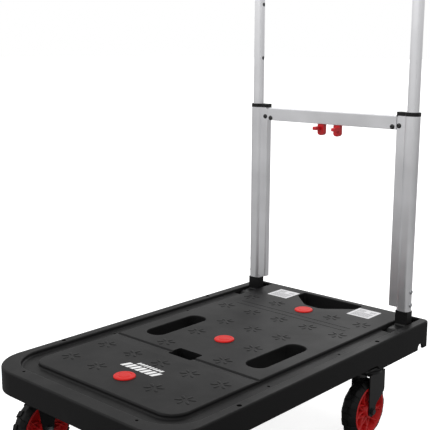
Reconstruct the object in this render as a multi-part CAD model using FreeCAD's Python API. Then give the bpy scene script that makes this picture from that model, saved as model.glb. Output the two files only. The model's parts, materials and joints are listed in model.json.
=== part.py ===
"""Folding platform cart with a moulded deck and a telescoping fold-down handle.

Millimetres, +Z up. X is the width, the handle stands at the +Y end and folds
forward towards -Y. The origin is on the ground under the middle of the deck.
"""
import FreeCAD
import Part
import math
import os

V = FreeCAD.Vector
X_AXIS = V(1, 0, 0)
Y_AXIS = V(0, 1, 0)
Z_AXIS = V(0, 0, 1)

# ---------------------------------------------------------------- clearances
fit = 0.05              # radial gap of a shaft in its bore
seat_gap = 0.05         # gap round a curved part that sits in another
moving_gap = 0.4        # gap between parts that slide past each other
drop_in_gap = 0.3       # gap round a part dropped into a recess

# ---------------------------------------------------------------- deck
deck_length = 786.0
deck_width = 480.0
deck_over_casters = 52.0    # from the caster plates up to the rim
deck_skirt = 44.5           # depth of the skirt at the front
rear_skirt = 56.0           # deeper skirt under the handle
rear_skirt_length = 196.0   # length of the deeper skirt, from the rear
rear_skirt_slope = 12.0     # length of the slope into it
front_corner_radius = 75.0
rear_corner_radius = 14.0
deck_wall = 5.0
rim_edge_round = 4.0
side_rim_width = 21.25
front_rim_width = 31.75
channel_width = 32.0        # open channel that takes the folded handle
channel_depth = 8.0
channel_floor_round = 4.0
channel_edge_round = 3.6
channel_corner = 5.0
channel_inner_radius = 36.5
channel_rear_margin = 8.0
rib_thickness = 3.0
rib_depth = 25.0
long_rib_x = (55.0, 100.0, 178.0, 226.0)
cross_rib_y = (-372.0, -196.0, -146.0, 95.0, 140.0, 277.0)

# through slots either side of the middle cap
side_slot_x = 133.0
side_slot_length = 152.0
side_slot_width = 45.5
side_slot_radius = 20.0
slot_wall = 4.0
opening_edge_round = 2.2     # rounds the slots and the carrying opening

# recess for the two release levers when the handle is folded
pocket_width = 60.0
pocket_ahead = 2.5          # pocket walls, measured back from the folded crossbar
pocket_behind = 37.0
pocket_depth = 20.0
pocket_wall = 3.0

# shallow groove across the deck where the folded crossbar lies
groove_ahead = 16.5         # groove edges either side of the folded crossbar
groove_behind = 17.5
groove_depth = 2.8
groove_line_width = 9.0
groove_ramp_depth = 0.7

# carrying opening at the rear rim
grip_rear_margin = 16.0
grip_half_width = 80.0
grip_side_depth = 27.0
grip_nose_half = 22.0
grip_depth = 78.0

# pockets for the hinge feet
hinge_slot_ahead = 62.0     # open length in front of the post's axis

# arched notch in each rear skirt
notch_rear_margin = 37.5
notch_width = 20.0
notch_height = 13.0

# caps, labels and small holes in the top
cap_radius = 20.0
cap_ahead_of_grip = 35.0    # from the carrying opening to the middle of the rear cap
cap_rise = 3.2
cap_recess = 1.5
cap_stem_radius = 5.5
cap_stem_length = 9.0
label_width = 56.0
label_length = 54.0
label_x = 111.0
label_rear_margin = 58.0
label_thickness = 0.4
label_corner = 1.5
rim_hole_radius = 4.6
small_hole_radius = 2.8
hole_depth = 3.0
rim_hole_inset = 10.5
rim_hole_ys = (-220.0, 198.0)
front_hole_x = 149.0
front_hole_margin = 22.0
channel_hole_ys = (-111.0, 104.0)

# ---------------------------------------------------------------- steel under the deck
beam_width = 92.0
beam_height = 37.0
beam_wall = 2.0
beam_end_margin = 12.0      # from the deck's side to the end of a beam
centre_rail_width = 30.0
centre_rail_lift = 5.0      # above the underside of the beams
centre_rail_height = 22.0
centre_rail_wall = 2.0

# ---------------------------------------------------------------- casters
wheel_radius = 62.5
tyre_width = 35.0
tyre_shoulder = 12.5        # half width of the tread where it starts to round off
tyre_crown = 9.0
tyre_thickness = 12.0
rim_lip = 4.5
rim_setback = 0.3           # rim narrower than the tyre, each side
hub_radius = 14.0
hub_gap = 0.6               # from the hub to the fork
web_half_thickness = 4.0
rib_half_width = 12.5
spoke_count = 10
spoke_thickness = 3.5
axle_radius = 4.0
axle_head_radius = 6.5
axle_head_height = 5.0
tyre_side_gap = 2.0         # from the tyre to the fork
fork_steel = 2.5
fork_end_radius = 11.0
fork_front_reach = 27.0     # crown edge in front of the kingpin
fork_rear_reach = 28.0
fork_straight = 45.0
caster_inset = 35.0         # from the deck's side to the middle of a caster
front_axle_margin = 97.0    # from the deck's front to the front axles
kingpin_rear_margin = 183.0
caster_trail = 16.0
plate_width = 58.0
plate_length = 90.0
plate_thickness = 3.0
plate_hole_radius = 4.25
plate_hole_dx = 36.0
plate_hole_dy = 76.0
plate_corner = 8.0
crown_clearance = 13.0      # from tyre to fork crown
race_radius = 25.0
race_gap = 0.6
race_height = 14.5          # from the crown to the mounting plate
kingpin_radius = 5.0
kingpin_head_radius = 8.0
kingpin_head_height = 4.0
rigid_top_reach = 30.5
rigid_straight = 26.0       # upper part of the rear edge of a leg, before it slopes

# ---------------------------------------------------------------- handle
post_rear_margin = 49.0     # from the deck's rear edge to the post axis
main_width = 30.0           # round-cornered chamber of the post section
main_depth = 24.0
main_corner = 10.0
main_wall = 1.6
flange_reach = 18.0         # narrower chamber on the side towards the other post
flange_wall = 1.6
flange_corner = 2.5
post_lift = 25.0            # lower end of the post above the deck
flange_lift = 6.0           # the inner chamber ends this much higher
crossbar_rest = 130.5       # folded crossbar ahead of the deck's middle
collar_below = 5.2
collar_above = 2.8
collar_overhang = 0.8
collar_tab = 2.0

crossbar_height = 29.0
crossbar_depth = 16.0       # the inner chambers of the posts are as deep
crossbar_wall = 1.8
crossbar_chamfer = 2.5
crossbar_below_top = 19.5   # from the top of the posts to the middle of the crossbar
joiner_reach = 48.0         # joiner length inside the crossbar
screw_head_radius = 5.3
screw_head_height = 2.6
screw_shank_radius = 2.5
screw_bite = 4.0            # screw length inside the joiner
flange_screw_inset = 6.0
flange_screw_drop = 6.2     # below the crossbar's middle
crossbar_screw_inset = 9.5
crossbar_screw_drop = 9.0

rod_above_centre = 6.5      # lock rods above the crossbar's middle
rod_radius = 4.0
rod_collar_radius = 5.4
rod_collar_length = 4.0
rod_inner_end = 13.0
lever_x = 21.0
lever_travel = 7.0
lever_width = 16.0
lever_depth = 11.0
lever_drop = 25.0
lever_stem_width = 11.0
lever_stem_depth = 7.0
lever_bar_reach = 18.5
lever_bar_width = 9.0
lever_bar_height = 7.5
lever_bar_drop = 5.0
spring_radius = 4.9
spring_wire = 0.45
spring_turns = 7
spring_length = 27.0
spring_seat_wall = 6.0

tube_side_gap = 0.9         # from the tube to the chamber, along X and along Y
tube_face_gap = 1.1
tube_wall = 1.5
lock_hole_radius = 4.3
lock_hole_pitch = 120.0
lock_hole_count = 3
tube_end_gap = 4.0          # from the lowered tube to the foot
bush_height = 24.0
bush_spigot = 14.0
handle_bend_radius = 52.0
elbow_wall_over_tube = 1.2
elbow_straight = 8.0
elbow_spigot = 24.0
grip_rubber = 3.0
grip_length = 240.0

# hinge between the deck and the posts
folded_axis_lift = 14.0     # post axis above the deck when it lies on it
hinge_ahead = 34.0          # hinge pin in front of the post axis
hinge_pin_radius = 5.0
hinge_pin_head = 6.8        # stays below the deck over the bracket
hinge_pin_head_height = 3.0
foot_width = 28.6
foot_depth = 20.0
foot_toe_radius = 13.0
foot_heel_radius = 12.0     # rounds the heel so that it swings past the rear stop
foot_spigot = 64.0
bracket_gap = 1.0
bracket_steel = 3.0
bracket_flange = 12.0
bracket_bolt_margin = 8.0   # from either end of a flange to its bolts
bracket_reach = 50.0        # from the rim down to the bracket's lower edge
rivet_radius = 3.0
rivet_head_radius = 5.0
rivet_head_height = 2.0
rivet_lifts = (14.0, 42.5)  # above the lower end of the post
plunger_radius = 5.0
plunger_length = 9.0
plunger_nose = 2.5
plunger_drop = 6.0

# ---------------------------------------------------------------- values that follow
rim_radius = wheel_radius - tyre_thickness
rim_half_width = tyre_width / 2 - rim_setback
fork_outer_width = tyre_width + 2 * tyre_side_gap + 2 * fork_steel
hub_half_length = tyre_width / 2 + tyre_side_gap - hub_gap
crown_bottom = wheel_radius * 2 + crown_clearance
crown_top = crown_bottom + fork_steel
plate_bottom = crown_top + race_height
caster_plane = plate_bottom + plate_thickness
deck_top = caster_plane + deck_over_casters
half_length = deck_length / 2
half_width = deck_width / 2
skirt_bottom = deck_top - deck_skirt
rear_bottom = deck_top - rear_skirt
top_underside = deck_top - deck_wall
rib_bottom = top_underside - rib_depth
channel_floor = deck_top - channel_depth
channel_outer_x = half_width - side_rim_width
channel_inner_x = channel_outer_x - channel_width
channel_front_y = -half_length + front_rim_width
channel_panel_y = channel_front_y + channel_width
channel_rear_y = half_length - channel_rear_margin
rear_skirt_start = half_length - rear_skirt_length
post_x = channel_outer_x - channel_width / 2
post_y = half_length - post_rear_margin
hinge_slot_front = post_y - hinge_slot_ahead
hinge_slot_rear = channel_rear_y
notch_y = half_length - notch_rear_margin
cap_spacing = half_length - grip_rear_margin - grip_depth - cap_ahead_of_grip
label_y = half_length - label_rear_margin
rim_hole_x = half_width - rim_hole_inset
front_hole_y = -half_length + front_hole_margin
caster_x = half_width - caster_inset
front_axle_y = -half_length + front_axle_margin
rear_kingpin_y = half_length - kingpin_rear_margin
beam_half_length = half_width - beam_end_margin
channel_outer_radius = channel_inner_radius + channel_width
flange_depth = crossbar_depth
post_bottom = deck_top + post_lift
tube_width = main_width - 2 * main_wall - 2 * tube_side_gap
tube_depth = main_depth - 2 * main_wall - 2 * tube_face_gap
folded_axis_height = deck_top + folded_axis_lift
centre_rail_bottom = caster_plane + centre_rail_lift
centre_rail_top = centre_rail_bottom + centre_rail_height
bracket_bottom = deck_top - bracket_reach
rivet_heights = [post_bottom + lift for lift in rivet_lifts]
hinge_y = post_y - hinge_ahead
hinge_z = folded_axis_height - hinge_ahead
folded_crossbar_y = -crossbar_rest
crossbar_z = hinge_y + hinge_z - folded_crossbar_y
post_top = crossbar_z + crossbar_below_top
groove_front = folded_crossbar_y - groove_ahead
groove_rear = folded_crossbar_y + groove_behind
pocket_front = folded_crossbar_y + pocket_ahead
pocket_rear = folded_crossbar_y + pocket_behind
beam_top = caster_plane + beam_height
front_beam_y = front_axle_y
rear_beam_y = rear_kingpin_y
flange_inner_x = post_x - main_width / 2 - flange_reach
joiner_depth = crossbar_depth - 2 * crossbar_wall - 2 * drop_in_gap
joiner_bottom = crossbar_z - crossbar_height / 2 + crossbar_wall + drop_in_gap
joiner_top = crossbar_z + crossbar_height / 2 - crossbar_wall - crossbar_chamfer
hub_depth = crossbar_depth - 2 * crossbar_wall - 2 * moving_gap
spring_x0 = flange_inner_x - joiner_reach + spring_seat_wall
spring_x1 = spring_x0 + spring_length
lock_z = crossbar_z + rod_above_centre
lock_stroke = lock_hole_pitch * (lock_hole_count - 1)
tube_bottom = post_bottom + foot_spigot + tube_end_gap + bush_height + lock_stroke
grip_folded_y = (channel_front_y + channel_panel_y) / 2
grip_z = hinge_y + hinge_z - grip_folded_y + lock_stroke
leg_top = grip_z - handle_bend_radius - elbow_straight
lock_nose_x = post_x - tube_width / 2 - moving_gap
fork_half = fork_outer_width / 2
bracket_cheek_x = foot_width / 2 + bracket_gap
bracket_front = hinge_y - foot_toe_radius - 3
bracket_rear = post_y + foot_depth / 2 + moving_gap
bracket_top = channel_floor - deck_wall
bracket_end = bracket_rear + bracket_steel
flange_start = hinge_y + hinge_pin_head + 2.0
plunger_reach = bracket_gap - moving_gap
SIDES = (("left", -1), ("right", 1))


# ---------------------------------------------------------------- drawing helpers
def box(x0, x1, y0, y1, z0, z1):
    """Box between two corners."""
    return Part.makeBox(x1 - x0, y1 - y0, z1 - z0, V(x0, y0, z0))


def rod(radius, start, direction, length):
    """Round bar from a point along a direction."""
    return Part.makeCylinder(radius, length, start, direction)


def rounded_wire(corners, place):
    """Closed outline through corners (u, v, radius), each point put in space by place."""
    points = [V(u, v, 0) for u, v, radius in corners]
    count = len(points)
    tangents = []
    for index, corner in enumerate(corners):
        here = points[index]
        before = (points[index - 1] - here).normalize()
        after = (points[(index + 1) % count] - here).normalize()
        half_turn = before.getAngle(after) / 2
        reach = corner[2] / math.tan(half_turn)
        bisector = (before + after).normalize()
        middle = here + bisector * (corner[2] / math.sin(half_turn) - corner[2])
        tangents.append((here + before * reach, middle, here + after * reach))
    edges = []
    for index in range(count):
        start, middle, end = tangents[index]
        following = tangents[(index + 1) % count][0]
        if corners[index][2] > 0:
            arc = Part.Arc(place(start), place(middle), place(end))
            edges.append(arc.toShape())
        if (following - end).Length > 1e-6:
            edges.append(Part.makeLine(place(end), place(following)))
    return Part.Wire(edges)


def flat(z):
    """Place outline points in a level plane."""
    return lambda p: V(p.x, p.y, z)


def side_on(x):
    """Place outline points (y, z) in the plane at x."""
    return lambda p: V(x, p.x, p.y)


def prism(corners, z0, z1):
    """Upright solid with a rounded outline."""
    return Part.Face(rounded_wire(corners, flat(z0))).extrude(V(0, 0, z1 - z0))


def side_prism(corners, x0, x1):
    """Solid with an outline in the YZ plane, from x0 to x1."""
    return Part.Face(rounded_wire(corners, side_on(x0))).extrude(V(x1 - x0, 0, 0))


def rectangle(cx, cy, width, length, radius):
    """Corner list of a rounded rectangle."""
    w = width / 2
    h = length / 2
    return [
        (cx - w, cy - h, radius),
        (cx + w, cy - h, radius),
        (cx + w, cy + h, radius),
        (cx - w, cy + h, radius),
    ]


def fuse_all(shapes):
    """Union of a list of solids, with the seams between them cleaned up."""
    result = shapes[0]
    if len(shapes) > 1:
        result = result.multiFuse(shapes[1:])
    return result.removeSplitter()


def mirrored(shape):
    """The same shape on the other side of the cart."""
    return shape.mirror(V(0, 0, 0), X_AXIS)


def on_side(shape, sign):
    """A shape drawn at +X, put on the side that sign names."""
    return shape if sign > 0 else mirrored(shape)


def level_edges(shape, z, reach_x=1e6, low_y=-1e6, high_y=1e6):
    """Edges of a shape that lie level at z, inside the given limits."""
    found = []
    for edge in shape.Edges:
        size = edge.BoundBox
        level = abs(size.ZMin - z) < 1e-3 and abs(size.ZMax - z) < 1e-3
        across = max(-size.XMin, size.XMax) < reach_x
        along = size.YMin > low_y and size.YMax < high_y
        if level and across and along:
            found.append(edge)
    return found


def hexagon(radius, start, direction, height):
    """Hexagonal head or nut, radius across its corners, along +X or +Z."""
    wire_points = []
    for step in range(7):
        angle = step * math.pi / 3
        u = radius * math.cos(angle)
        v = radius * math.sin(angle)
        offset = V(0, u, v) if abs(direction.x) > 0.5 else V(u, v, 0)
        wire_points.append(start + offset)
    return Part.Face(Part.makePolygon(wire_points)).extrude(direction * height)


# ---------------------------------------------------------------- deck moulding
def deck_outline(inset):
    """Outer outline of the deck, moved inwards by inset."""
    w = half_width - inset
    h = half_length - inset
    front = front_corner_radius - inset
    rear = rear_corner_radius - inset
    return [(-w, -h, front), (w, -h, front), (w, h, rear), (-w, h, rear)]


def channel_outline(inset):
    """U-shaped channel that runs up both sides and across the front."""
    outer = channel_outer_x - inset
    inner = channel_inner_x + inset
    front = channel_front_y + inset
    panel = channel_panel_y - inset
    outer_radius = channel_outer_radius - inset
    inner_radius = channel_inner_radius + inset
    rear = channel_rear_y
    corner = channel_corner
    return [
        (-outer, rear, corner),
        (-outer, front, outer_radius),
        (outer, front, outer_radius),
        (outer, rear, corner),
        (inner, rear, corner),
        (inner, panel, inner_radius),
        (-inner, panel, inner_radius),
        (-inner, rear, corner),
    ]


def channel_space():
    """The open space of the channel, with a rounded floor."""
    space = prism(channel_outline(0), channel_floor, deck_top + 1)
    floor_edges = level_edges(space, channel_floor)
    return space.makeFillet(channel_floor_round, floor_edges)


def grip_outline(grow):
    """Rear carrying opening: straight at the rim, rounded at the front."""
    rear = half_length - grip_rear_margin + grow
    side = rear - grip_side_depth
    nose = half_length - grip_rear_margin - grip_depth - grow
    wide = grip_half_width + grow
    return [
        (-wide, rear, 6 + grow),
        (-wide, side, 12 + grow),
        (-grip_nose_half, nose, 30 + grow),
        (grip_nose_half, nose, 30 + grow),
        (wide, side, 12 + grow),
        (wide, rear, 6 + grow),
    ]


def deck_blank():
    """Solid block of the deck with its deeper rear skirt and a rounded top edge."""
    blank = prism(deck_outline(0), rear_bottom, deck_top)
    top_edges = [e for e in blank.Edges if all(abs(v.Z - deck_top) < 1e-6 for v in e.Vertexes)]
    blank = blank.makeFillet(rim_edge_round, top_edges)
    slope_start = rear_skirt_start - rear_skirt_slope
    low = rear_bottom - 1
    front_cut = side_prism([
        (-half_length - 1, low, 0),
        (rear_skirt_start, low, 0),
        (rear_skirt_start, rear_bottom, 0),
        (slope_start, skirt_bottom, 0),
        (-half_length - 1, skirt_bottom, 0),
    ], -half_width - 1, half_width + 1)
    return blank.cut(front_cut)


def deck_inner_walls():
    """Ribs, slot walls and the thicker floor under the channel and the pocket."""
    walls = []
    for x in long_rib_x:
        for sign in (-1, 1):
            walls.append(box(sign * x - rib_thickness / 2, sign * x + rib_thickness / 2,
                             -half_length + 3, half_length - 3, rib_bottom, deck_top - 1))
    for y in cross_rib_y:
        walls.append(box(-half_width + 3, half_width - 3, y - rib_thickness / 2,
                         y + rib_thickness / 2, rib_bottom, deck_top - 1))
    floor = prism(channel_outline(-slot_wall), channel_floor - deck_wall, top_underside + 1)
    walls.append(floor)
    for sign in (-1, 1):
        outline = rectangle(sign * side_slot_x, 0, side_slot_width + 2 * slot_wall,
                            side_slot_length + 2 * slot_wall, side_slot_radius + slot_wall)
        walls.append(prism(outline, rib_bottom, deck_top - 1))
    walls.append(prism(grip_outline(slot_wall), rib_bottom, deck_top - 1))
    walls.append(box(-pocket_width / 2 - pocket_wall, pocket_width / 2 + pocket_wall,
                     pocket_front - pocket_wall, pocket_rear + pocket_wall,
                     deck_top - pocket_depth - pocket_wall, deck_top - 1))
    pad_reach = bracket_cheek_x + bracket_steel + bracket_flange
    for sign in (-1, 1):
        x0, x1 = sorted((sign * (post_x - pad_reach), sign * (half_width - 1)))
        walls.append(box(x0, x1, bracket_front, bracket_end, bracket_top, deck_top - 3))
    inside = prism(deck_outline(deck_wall - 1), rear_bottom, deck_top)
    return [wall.common(inside) for wall in walls]


def hand_openings():
    """Through slots beside the middle cap and the carrying opening."""
    cuts = [prism(grip_outline(0), rear_bottom - 1, deck_top + 1)]
    for sign in (-1, 1):
        outline = rectangle(sign * side_slot_x, 0, side_slot_width, side_slot_length,
                            side_slot_radius)
        cuts.append(prism(outline, rear_bottom - 1, deck_top + 1))
    return cuts


def handle_rests():
    """Hinge slots, lever pocket and crossbar groove that take the folded handle."""
    cuts = []
    slot_half = foot_width / 2 + bracket_gap
    for sign in (-1, 1):
        cuts.append(box(sign * post_x - slot_half, sign * post_x + slot_half, hinge_slot_front,
                        hinge_slot_rear, rear_bottom - 1, deck_top + 1))
    pocket = rectangle(0, (pocket_front + pocket_rear) / 2, pocket_width,
                       pocket_rear - pocket_front, 4)
    cuts.append(prism(pocket, deck_top - pocket_depth, deck_top + 1))
    line_front = groove_rear - groove_line_width
    cuts.append(side_prism([
        (groove_front, deck_top + 1, 0),
        (groove_front, deck_top - 0.1, 0),
        (line_front, deck_top - groove_ramp_depth, 4),
        (groove_rear - groove_depth, deck_top - groove_depth, 2),
        (groove_rear, deck_top - 0.2, 1),
        (groove_rear + 1, deck_top + 1, 0),
    ], -channel_inner_x, channel_inner_x))
    return cuts


def deck_holes():
    """Cap and label recesses and the small blind holes of the rim and channel."""
    cuts = []
    for index in (-1, 0, 1):
        y = index * cap_spacing
        cuts.append(rod(cap_radius + drop_in_gap, V(0, y, deck_top - cap_recess), Z_AXIS, 5))
        cuts.append(rod(cap_stem_radius + fit, V(0, y, deck_top - 20), Z_AXIS, 25))
    for sign in (-1, 1):
        for y in rim_hole_ys:
            cuts.append(rod(rim_hole_radius, V(sign * rim_hole_x, y, deck_top - hole_depth),
                            Z_AXIS, hole_depth + 1))
        cuts.append(rod(small_hole_radius, V(sign * front_hole_x, front_hole_y,
                                             deck_top - hole_depth), Z_AXIS, hole_depth + 1))
        recess = rectangle(sign * label_x, label_y, label_width + 2 * seat_gap,
                           label_length + 2 * seat_gap, label_corner + seat_gap)
        cuts.append(prism(recess, deck_top - label_thickness, deck_top + 1))
        for y in channel_hole_ys:
            cuts.append(rod(small_hole_radius, V(sign * post_x, y, channel_floor - hole_depth),
                            Z_AXIS, hole_depth + 1))
    return cuts


def steel_space():
    """Room that the beams and the centre rail take among the ribs."""
    return [
        box(-beam_half_length - 1, beam_half_length + 1, y - beam_width / 2, y + beam_width / 2,
            caster_plane, beam_top) for y in (front_beam_y, rear_beam_y)
    ] + [
        box(-centre_rail_width / 2, centre_rail_width / 2, front_beam_y, rear_beam_y,
            centre_rail_bottom, centre_rail_top)
    ]


def bracket_space():
    """Room for the hinge brackets, open to the underside."""
    reach = bracket_cheek_x + bracket_steel + bracket_flange + 1
    outer = min(post_x + reach, half_width - deck_wall)
    space = box(post_x - reach, outer, bracket_front - 1, bracket_end + 1,
                rear_bottom - 1, bracket_top)
    return [space, mirrored(space)]


def skirt_notches():
    """Arched notch in the lower edge of each rear skirt."""
    cuts = []
    radius = notch_width / 2
    for sign in (-1, 1):
        x = sign * half_width - deck_wall - 1
        arch = rod(radius, V(x, notch_y, rear_bottom + notch_height - radius), X_AXIS,
                   2 * deck_wall + 2)
        leg = box(x, x + 2 * deck_wall + 2, notch_y - radius, notch_y + radius, rear_bottom - 1,
                  rear_bottom + notch_height - radius)
        cuts.extend([arch, leg])
    return cuts


def deck_shell():
    """The moulded deck: rim, channel, panel, skirt and ribs in one piece."""
    hollow = prism(deck_outline(deck_wall), rear_bottom - 1, top_underside)
    shell = deck_blank().cut(hollow)
    shell = shell.multiFuse(deck_inner_walls()).removeSplitter()
    shell = shell.cut(channel_space()).removeSplitter().Solids[0]
    inside_x = channel_outer_x + 0.5
    channel_edges = level_edges(shell, deck_top, inside_x, channel_front_y - 0.5,
                                channel_rear_y + 0.5)
    shell = shell.makeFillet(channel_edge_round, channel_edges)
    shell = shell.cut(hand_openings())
    opening_edges = level_edges(shell, deck_top, channel_inner_x - channel_edge_round - 1,
                                channel_panel_y + channel_edge_round + 1,
                                channel_rear_y - channel_edge_round - 1)
    shell = shell.makeFillet(opening_edge_round, opening_edges).Solids[0]
    cuts = handle_rests() + deck_holes() + steel_space() + bracket_space() + skirt_notches()
    return shell.cut(cuts).removeSplitter()


# ---------------------------------------------------------------- caps and labels
def round_cap(y):
    """Domed round cap with a stem that clips into the deck."""
    seat = deck_top - cap_recess
    rise = cap_recess + cap_rise
    disc = rod(cap_radius, V(0, y, seat), Z_AXIS, rise)
    disc = disc.makeFillet(rise * 0.55, [e for e in disc.Edges
                                         if all(abs(v.Z - seat - rise) < 1e-6
                                                for v in e.Vertexes)])
    stem = rod(cap_stem_radius, V(0, y, seat - cap_stem_length), Z_AXIS, cap_stem_length + 0.5)
    return fuse_all([disc, stem])


def label(sign):
    """Blank stick-on label that lies flush in its recess."""
    outline = rectangle(sign * label_x, label_y, label_width, label_length, label_corner)
    return prism(outline, deck_top - label_thickness, deck_top)


# ---------------------------------------------------------------- steel frame
def cross_beam(y):
    """Box-section beam that carries a pair of casters."""
    outer = box(-beam_half_length, beam_half_length, y - beam_width / 2, y + beam_width / 2,
                caster_plane, beam_top)
    inner = box(-beam_half_length - 1, beam_half_length + 1, y - beam_width / 2 + beam_wall,
                y + beam_width / 2 - beam_wall, caster_plane + beam_wall, beam_top - beam_wall)
    beam = outer.cut(inner)
    holes = []
    for sign in (-1, 1):
        for dx in (-1, 1):
            for dy in (-1, 1):
                x = sign * caster_x + dx * plate_hole_dx / 2
                start = V(x, y + dy * plate_hole_dy / 2, caster_plane - 1)
                holes.append(rod(plate_hole_radius, start, Z_AXIS, beam_wall + 2))
    return beam.cut(holes)


def centre_rail():
    """Rectangular tube between the two beams."""
    y0 = front_beam_y + beam_width / 2
    y1 = rear_beam_y - beam_width / 2
    w = centre_rail_width / 2
    outer = box(-w, w, y0, y1, centre_rail_bottom, centre_rail_top)
    t = centre_rail_wall
    return outer.cut(box(-w + t, w - t, y0 - 1, y1 + 1, centre_rail_bottom + t,
                         centre_rail_top - t))


# ---------------------------------------------------------------- wheels and casters
def revolved(profile, axle_x, axle_y):
    """Ring from a profile of (x from the wheel's middle, radius) points."""
    corners = [(axle_x + x, wheel_radius + r, 0) for x, r in profile]
    wire = rounded_wire(corners, lambda p: V(p.x, axle_y, p.y))
    return Part.Face(wire).revolve(V(0, axle_y, wheel_radius), X_AXIS, 360)


def tyre(x, y):
    """Solid rubber tyre with rounded shoulders."""
    half = tyre_width / 2
    profile = [
        (-rim_half_width, rim_radius),
        (-half, rim_radius + 2.5),
        (-tyre_shoulder, wheel_radius - 2.2),
        (-tyre_crown, wheel_radius),
        (tyre_crown, wheel_radius),
        (tyre_shoulder, wheel_radius - 2.2),
        (half, rim_radius + 2.5),
        (rim_half_width, rim_radius),
    ]
    return revolved(profile, x, y)


def wheel_rim(x, y):
    """Rim with a hub, a thin web and ribs that stand out from it like curved spokes."""
    inner = rim_radius - rim_lip
    bore = axle_radius + fit
    ring = revolved([
        (-rim_half_width, inner),
        (-rim_half_width, rim_radius),
        (rim_half_width, rim_radius),
        (rim_half_width, inner),
    ], x, y)
    web = revolved([
        (-web_half_thickness, bore),
        (-web_half_thickness, inner + 0.5),
        (web_half_thickness, inner + 0.5),
        (web_half_thickness, bore),
    ], x, y)
    hub = revolved([
        (-hub_half_length, bore),
        (-hub_half_length, hub_radius),
        (hub_half_length, hub_radius),
        (hub_half_length, bore),
    ], x, y)
    spokes = []
    spoke = box(x - rib_half_width, x + rib_half_width, y + hub_radius - 1, y + inner + 1,
                wheel_radius - spoke_thickness / 2, wheel_radius + spoke_thickness / 2)
    for index in range(spoke_count):
        turned = spoke.copy()
        turned.rotate(V(x, y, wheel_radius), X_AXIS, index * 360.0 / spoke_count)
        spokes.append(turned)
    return fuse_all([ring, web, hub] + spokes)


def axle_bolt(x, y):
    """Wheel bolt with a head and a nut."""
    half = fork_half
    shank = rod(axle_radius, V(x - half, y, wheel_radius), X_AXIS, fork_outer_width)
    head = hexagon(axle_head_radius, V(x + half, y, wheel_radius), X_AXIS, axle_head_height)
    nut = hexagon(axle_head_radius, V(x - half - axle_head_height, y, wheel_radius), X_AXIS,
                  axle_head_height)
    return fuse_all([shank, head, nut])


def fork_legs(x, axle_y, front_y, rear_y, top_z, straight):
    """Two legs that taper from a wide top to a round end at the axle."""
    end = fork_end_radius
    outline = [
        (front_y, top_z, 0),
        (axle_y - end, wheel_radius - end, end - 0.5),
        (axle_y + end, wheel_radius - end, end - 0.5),
        (axle_y + end + 2, wheel_radius + end, 6),
        (rear_y, top_z - straight, 12),
        (rear_y, top_z, 0),
    ]
    legs = []
    bore = rod(axle_radius + fit, V(x - 2 * fork_half, axle_y, wheel_radius), X_AXIS,
               4 * fork_half)
    for sign in (-1, 1):
        inner = x + sign * (fork_half - fork_steel)
        leg = side_prism(outline, inner, x + sign * fork_half)
        legs.append(leg.cut(bore))
    return legs


def caster_plate(x, y):
    """Mounting plate with four holes."""
    plate = prism(rectangle(x, y, plate_width, plate_length, plate_corner), plate_bottom,
                  caster_plane)
    holes = []
    for dx in (-1, 1):
        for dy in (-1, 1):
            start = V(x + dx * plate_hole_dx / 2, y + dy * plate_hole_dy / 2, plate_bottom - 1)
            holes.append(rod(plate_hole_radius, start, Z_AXIS, plate_thickness + 2))
    return plate.cut(holes)


def rigid_caster(x, y):
    """Fixed caster: plate and legs in one pressing."""
    legs = fork_legs(x, y, y - rigid_top_reach, y + rigid_top_reach, plate_bottom + 0.5,
                     rigid_straight)
    return fuse_all([caster_plate(x, y)] + legs)


def swivel_plate(x, y):
    """Plate of a swivel caster with its upper ball race."""
    race = rod(race_radius, V(x, y, crown_top + race_gap + 5), Z_AXIS,
               plate_bottom - crown_top - race_gap - 4.5)
    bore = rod(kingpin_radius + fit, V(x, y, crown_top), Z_AXIS, caster_plane)
    return fuse_all([caster_plate(x, y), race]).cut(bore)


def swivel_fork(x, y):
    """Turning fork: lower race, crown and two legs, with the axle behind the kingpin."""
    axle_y = y - caster_trail
    front_y = y - fork_front_reach
    rear_y = y + fork_rear_reach
    crown = box(x - fork_half, x + fork_half, front_y, rear_y, crown_bottom, crown_top)
    race = rod(race_radius + 1.5, V(x, y, crown_top - 0.5), Z_AXIS, 5.5)
    legs = fork_legs(x, axle_y, front_y, rear_y, crown_top, fork_straight)
    bore = rod(kingpin_radius + fit, V(x, y, crown_bottom - 5), Z_AXIS, 30)
    return fuse_all([crown, race] + legs).cut(bore)


def kingpin(x, y):
    """Kingpin that holds the fork to its plate."""
    bottom = crown_bottom - moving_gap
    pin = rod(kingpin_radius, V(x, y, bottom), Z_AXIS, plate_bottom - bottom)
    head = rod(kingpin_head_radius, V(x, y, bottom - kingpin_head_height), Z_AXIS,
               kingpin_head_height)
    return fuse_all([pin, head])


def plate_bolts(x, y):
    """Four bolts that hold a caster plate to its beam."""
    bolts = []
    for dx in (-1, 1):
        for dy in (-1, 1):
            place = V(x + dx * plate_hole_dx / 2, y + dy * plate_hole_dy / 2, plate_bottom)
            shank = rod(plate_hole_radius - seat_gap, place, Z_AXIS, plate_thickness + beam_wall)
            head = hexagon(plate_hole_radius * 1.5, place - V(0, 0, 3.5), Z_AXIS, 3.5)
            bolts.append(fuse_all([shank, head]))
    return bolts


# ---------------------------------------------------------------- handle, lower part
def post_skin(grow, z0, z1, lift):
    """Outer shape of the right post: round-cornered chamber and inner flange."""
    main = prism(rectangle(post_x, post_y, main_width + 2 * grow, main_depth + 2 * grow,
                           main_corner + grow), z0, z1)
    reach = main_width / 2 + flange_reach
    middle = post_x - reach + (reach - 4) / 2
    flange = prism(rectangle(middle, post_y, reach - 4 + 2 * grow, flange_depth + 2 * grow,
                             flange_corner + grow), z0 + lift, z1)
    return fuse_all([main, flange])


def chamber(shrink, z0, z1):
    """Inside of the main chamber of the right post, made smaller by shrink."""
    w = main_wall + shrink
    return prism(rectangle(post_x, post_y, main_width - 2 * w, main_depth - 2 * w,
                           main_corner - w), z0, z1)


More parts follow.
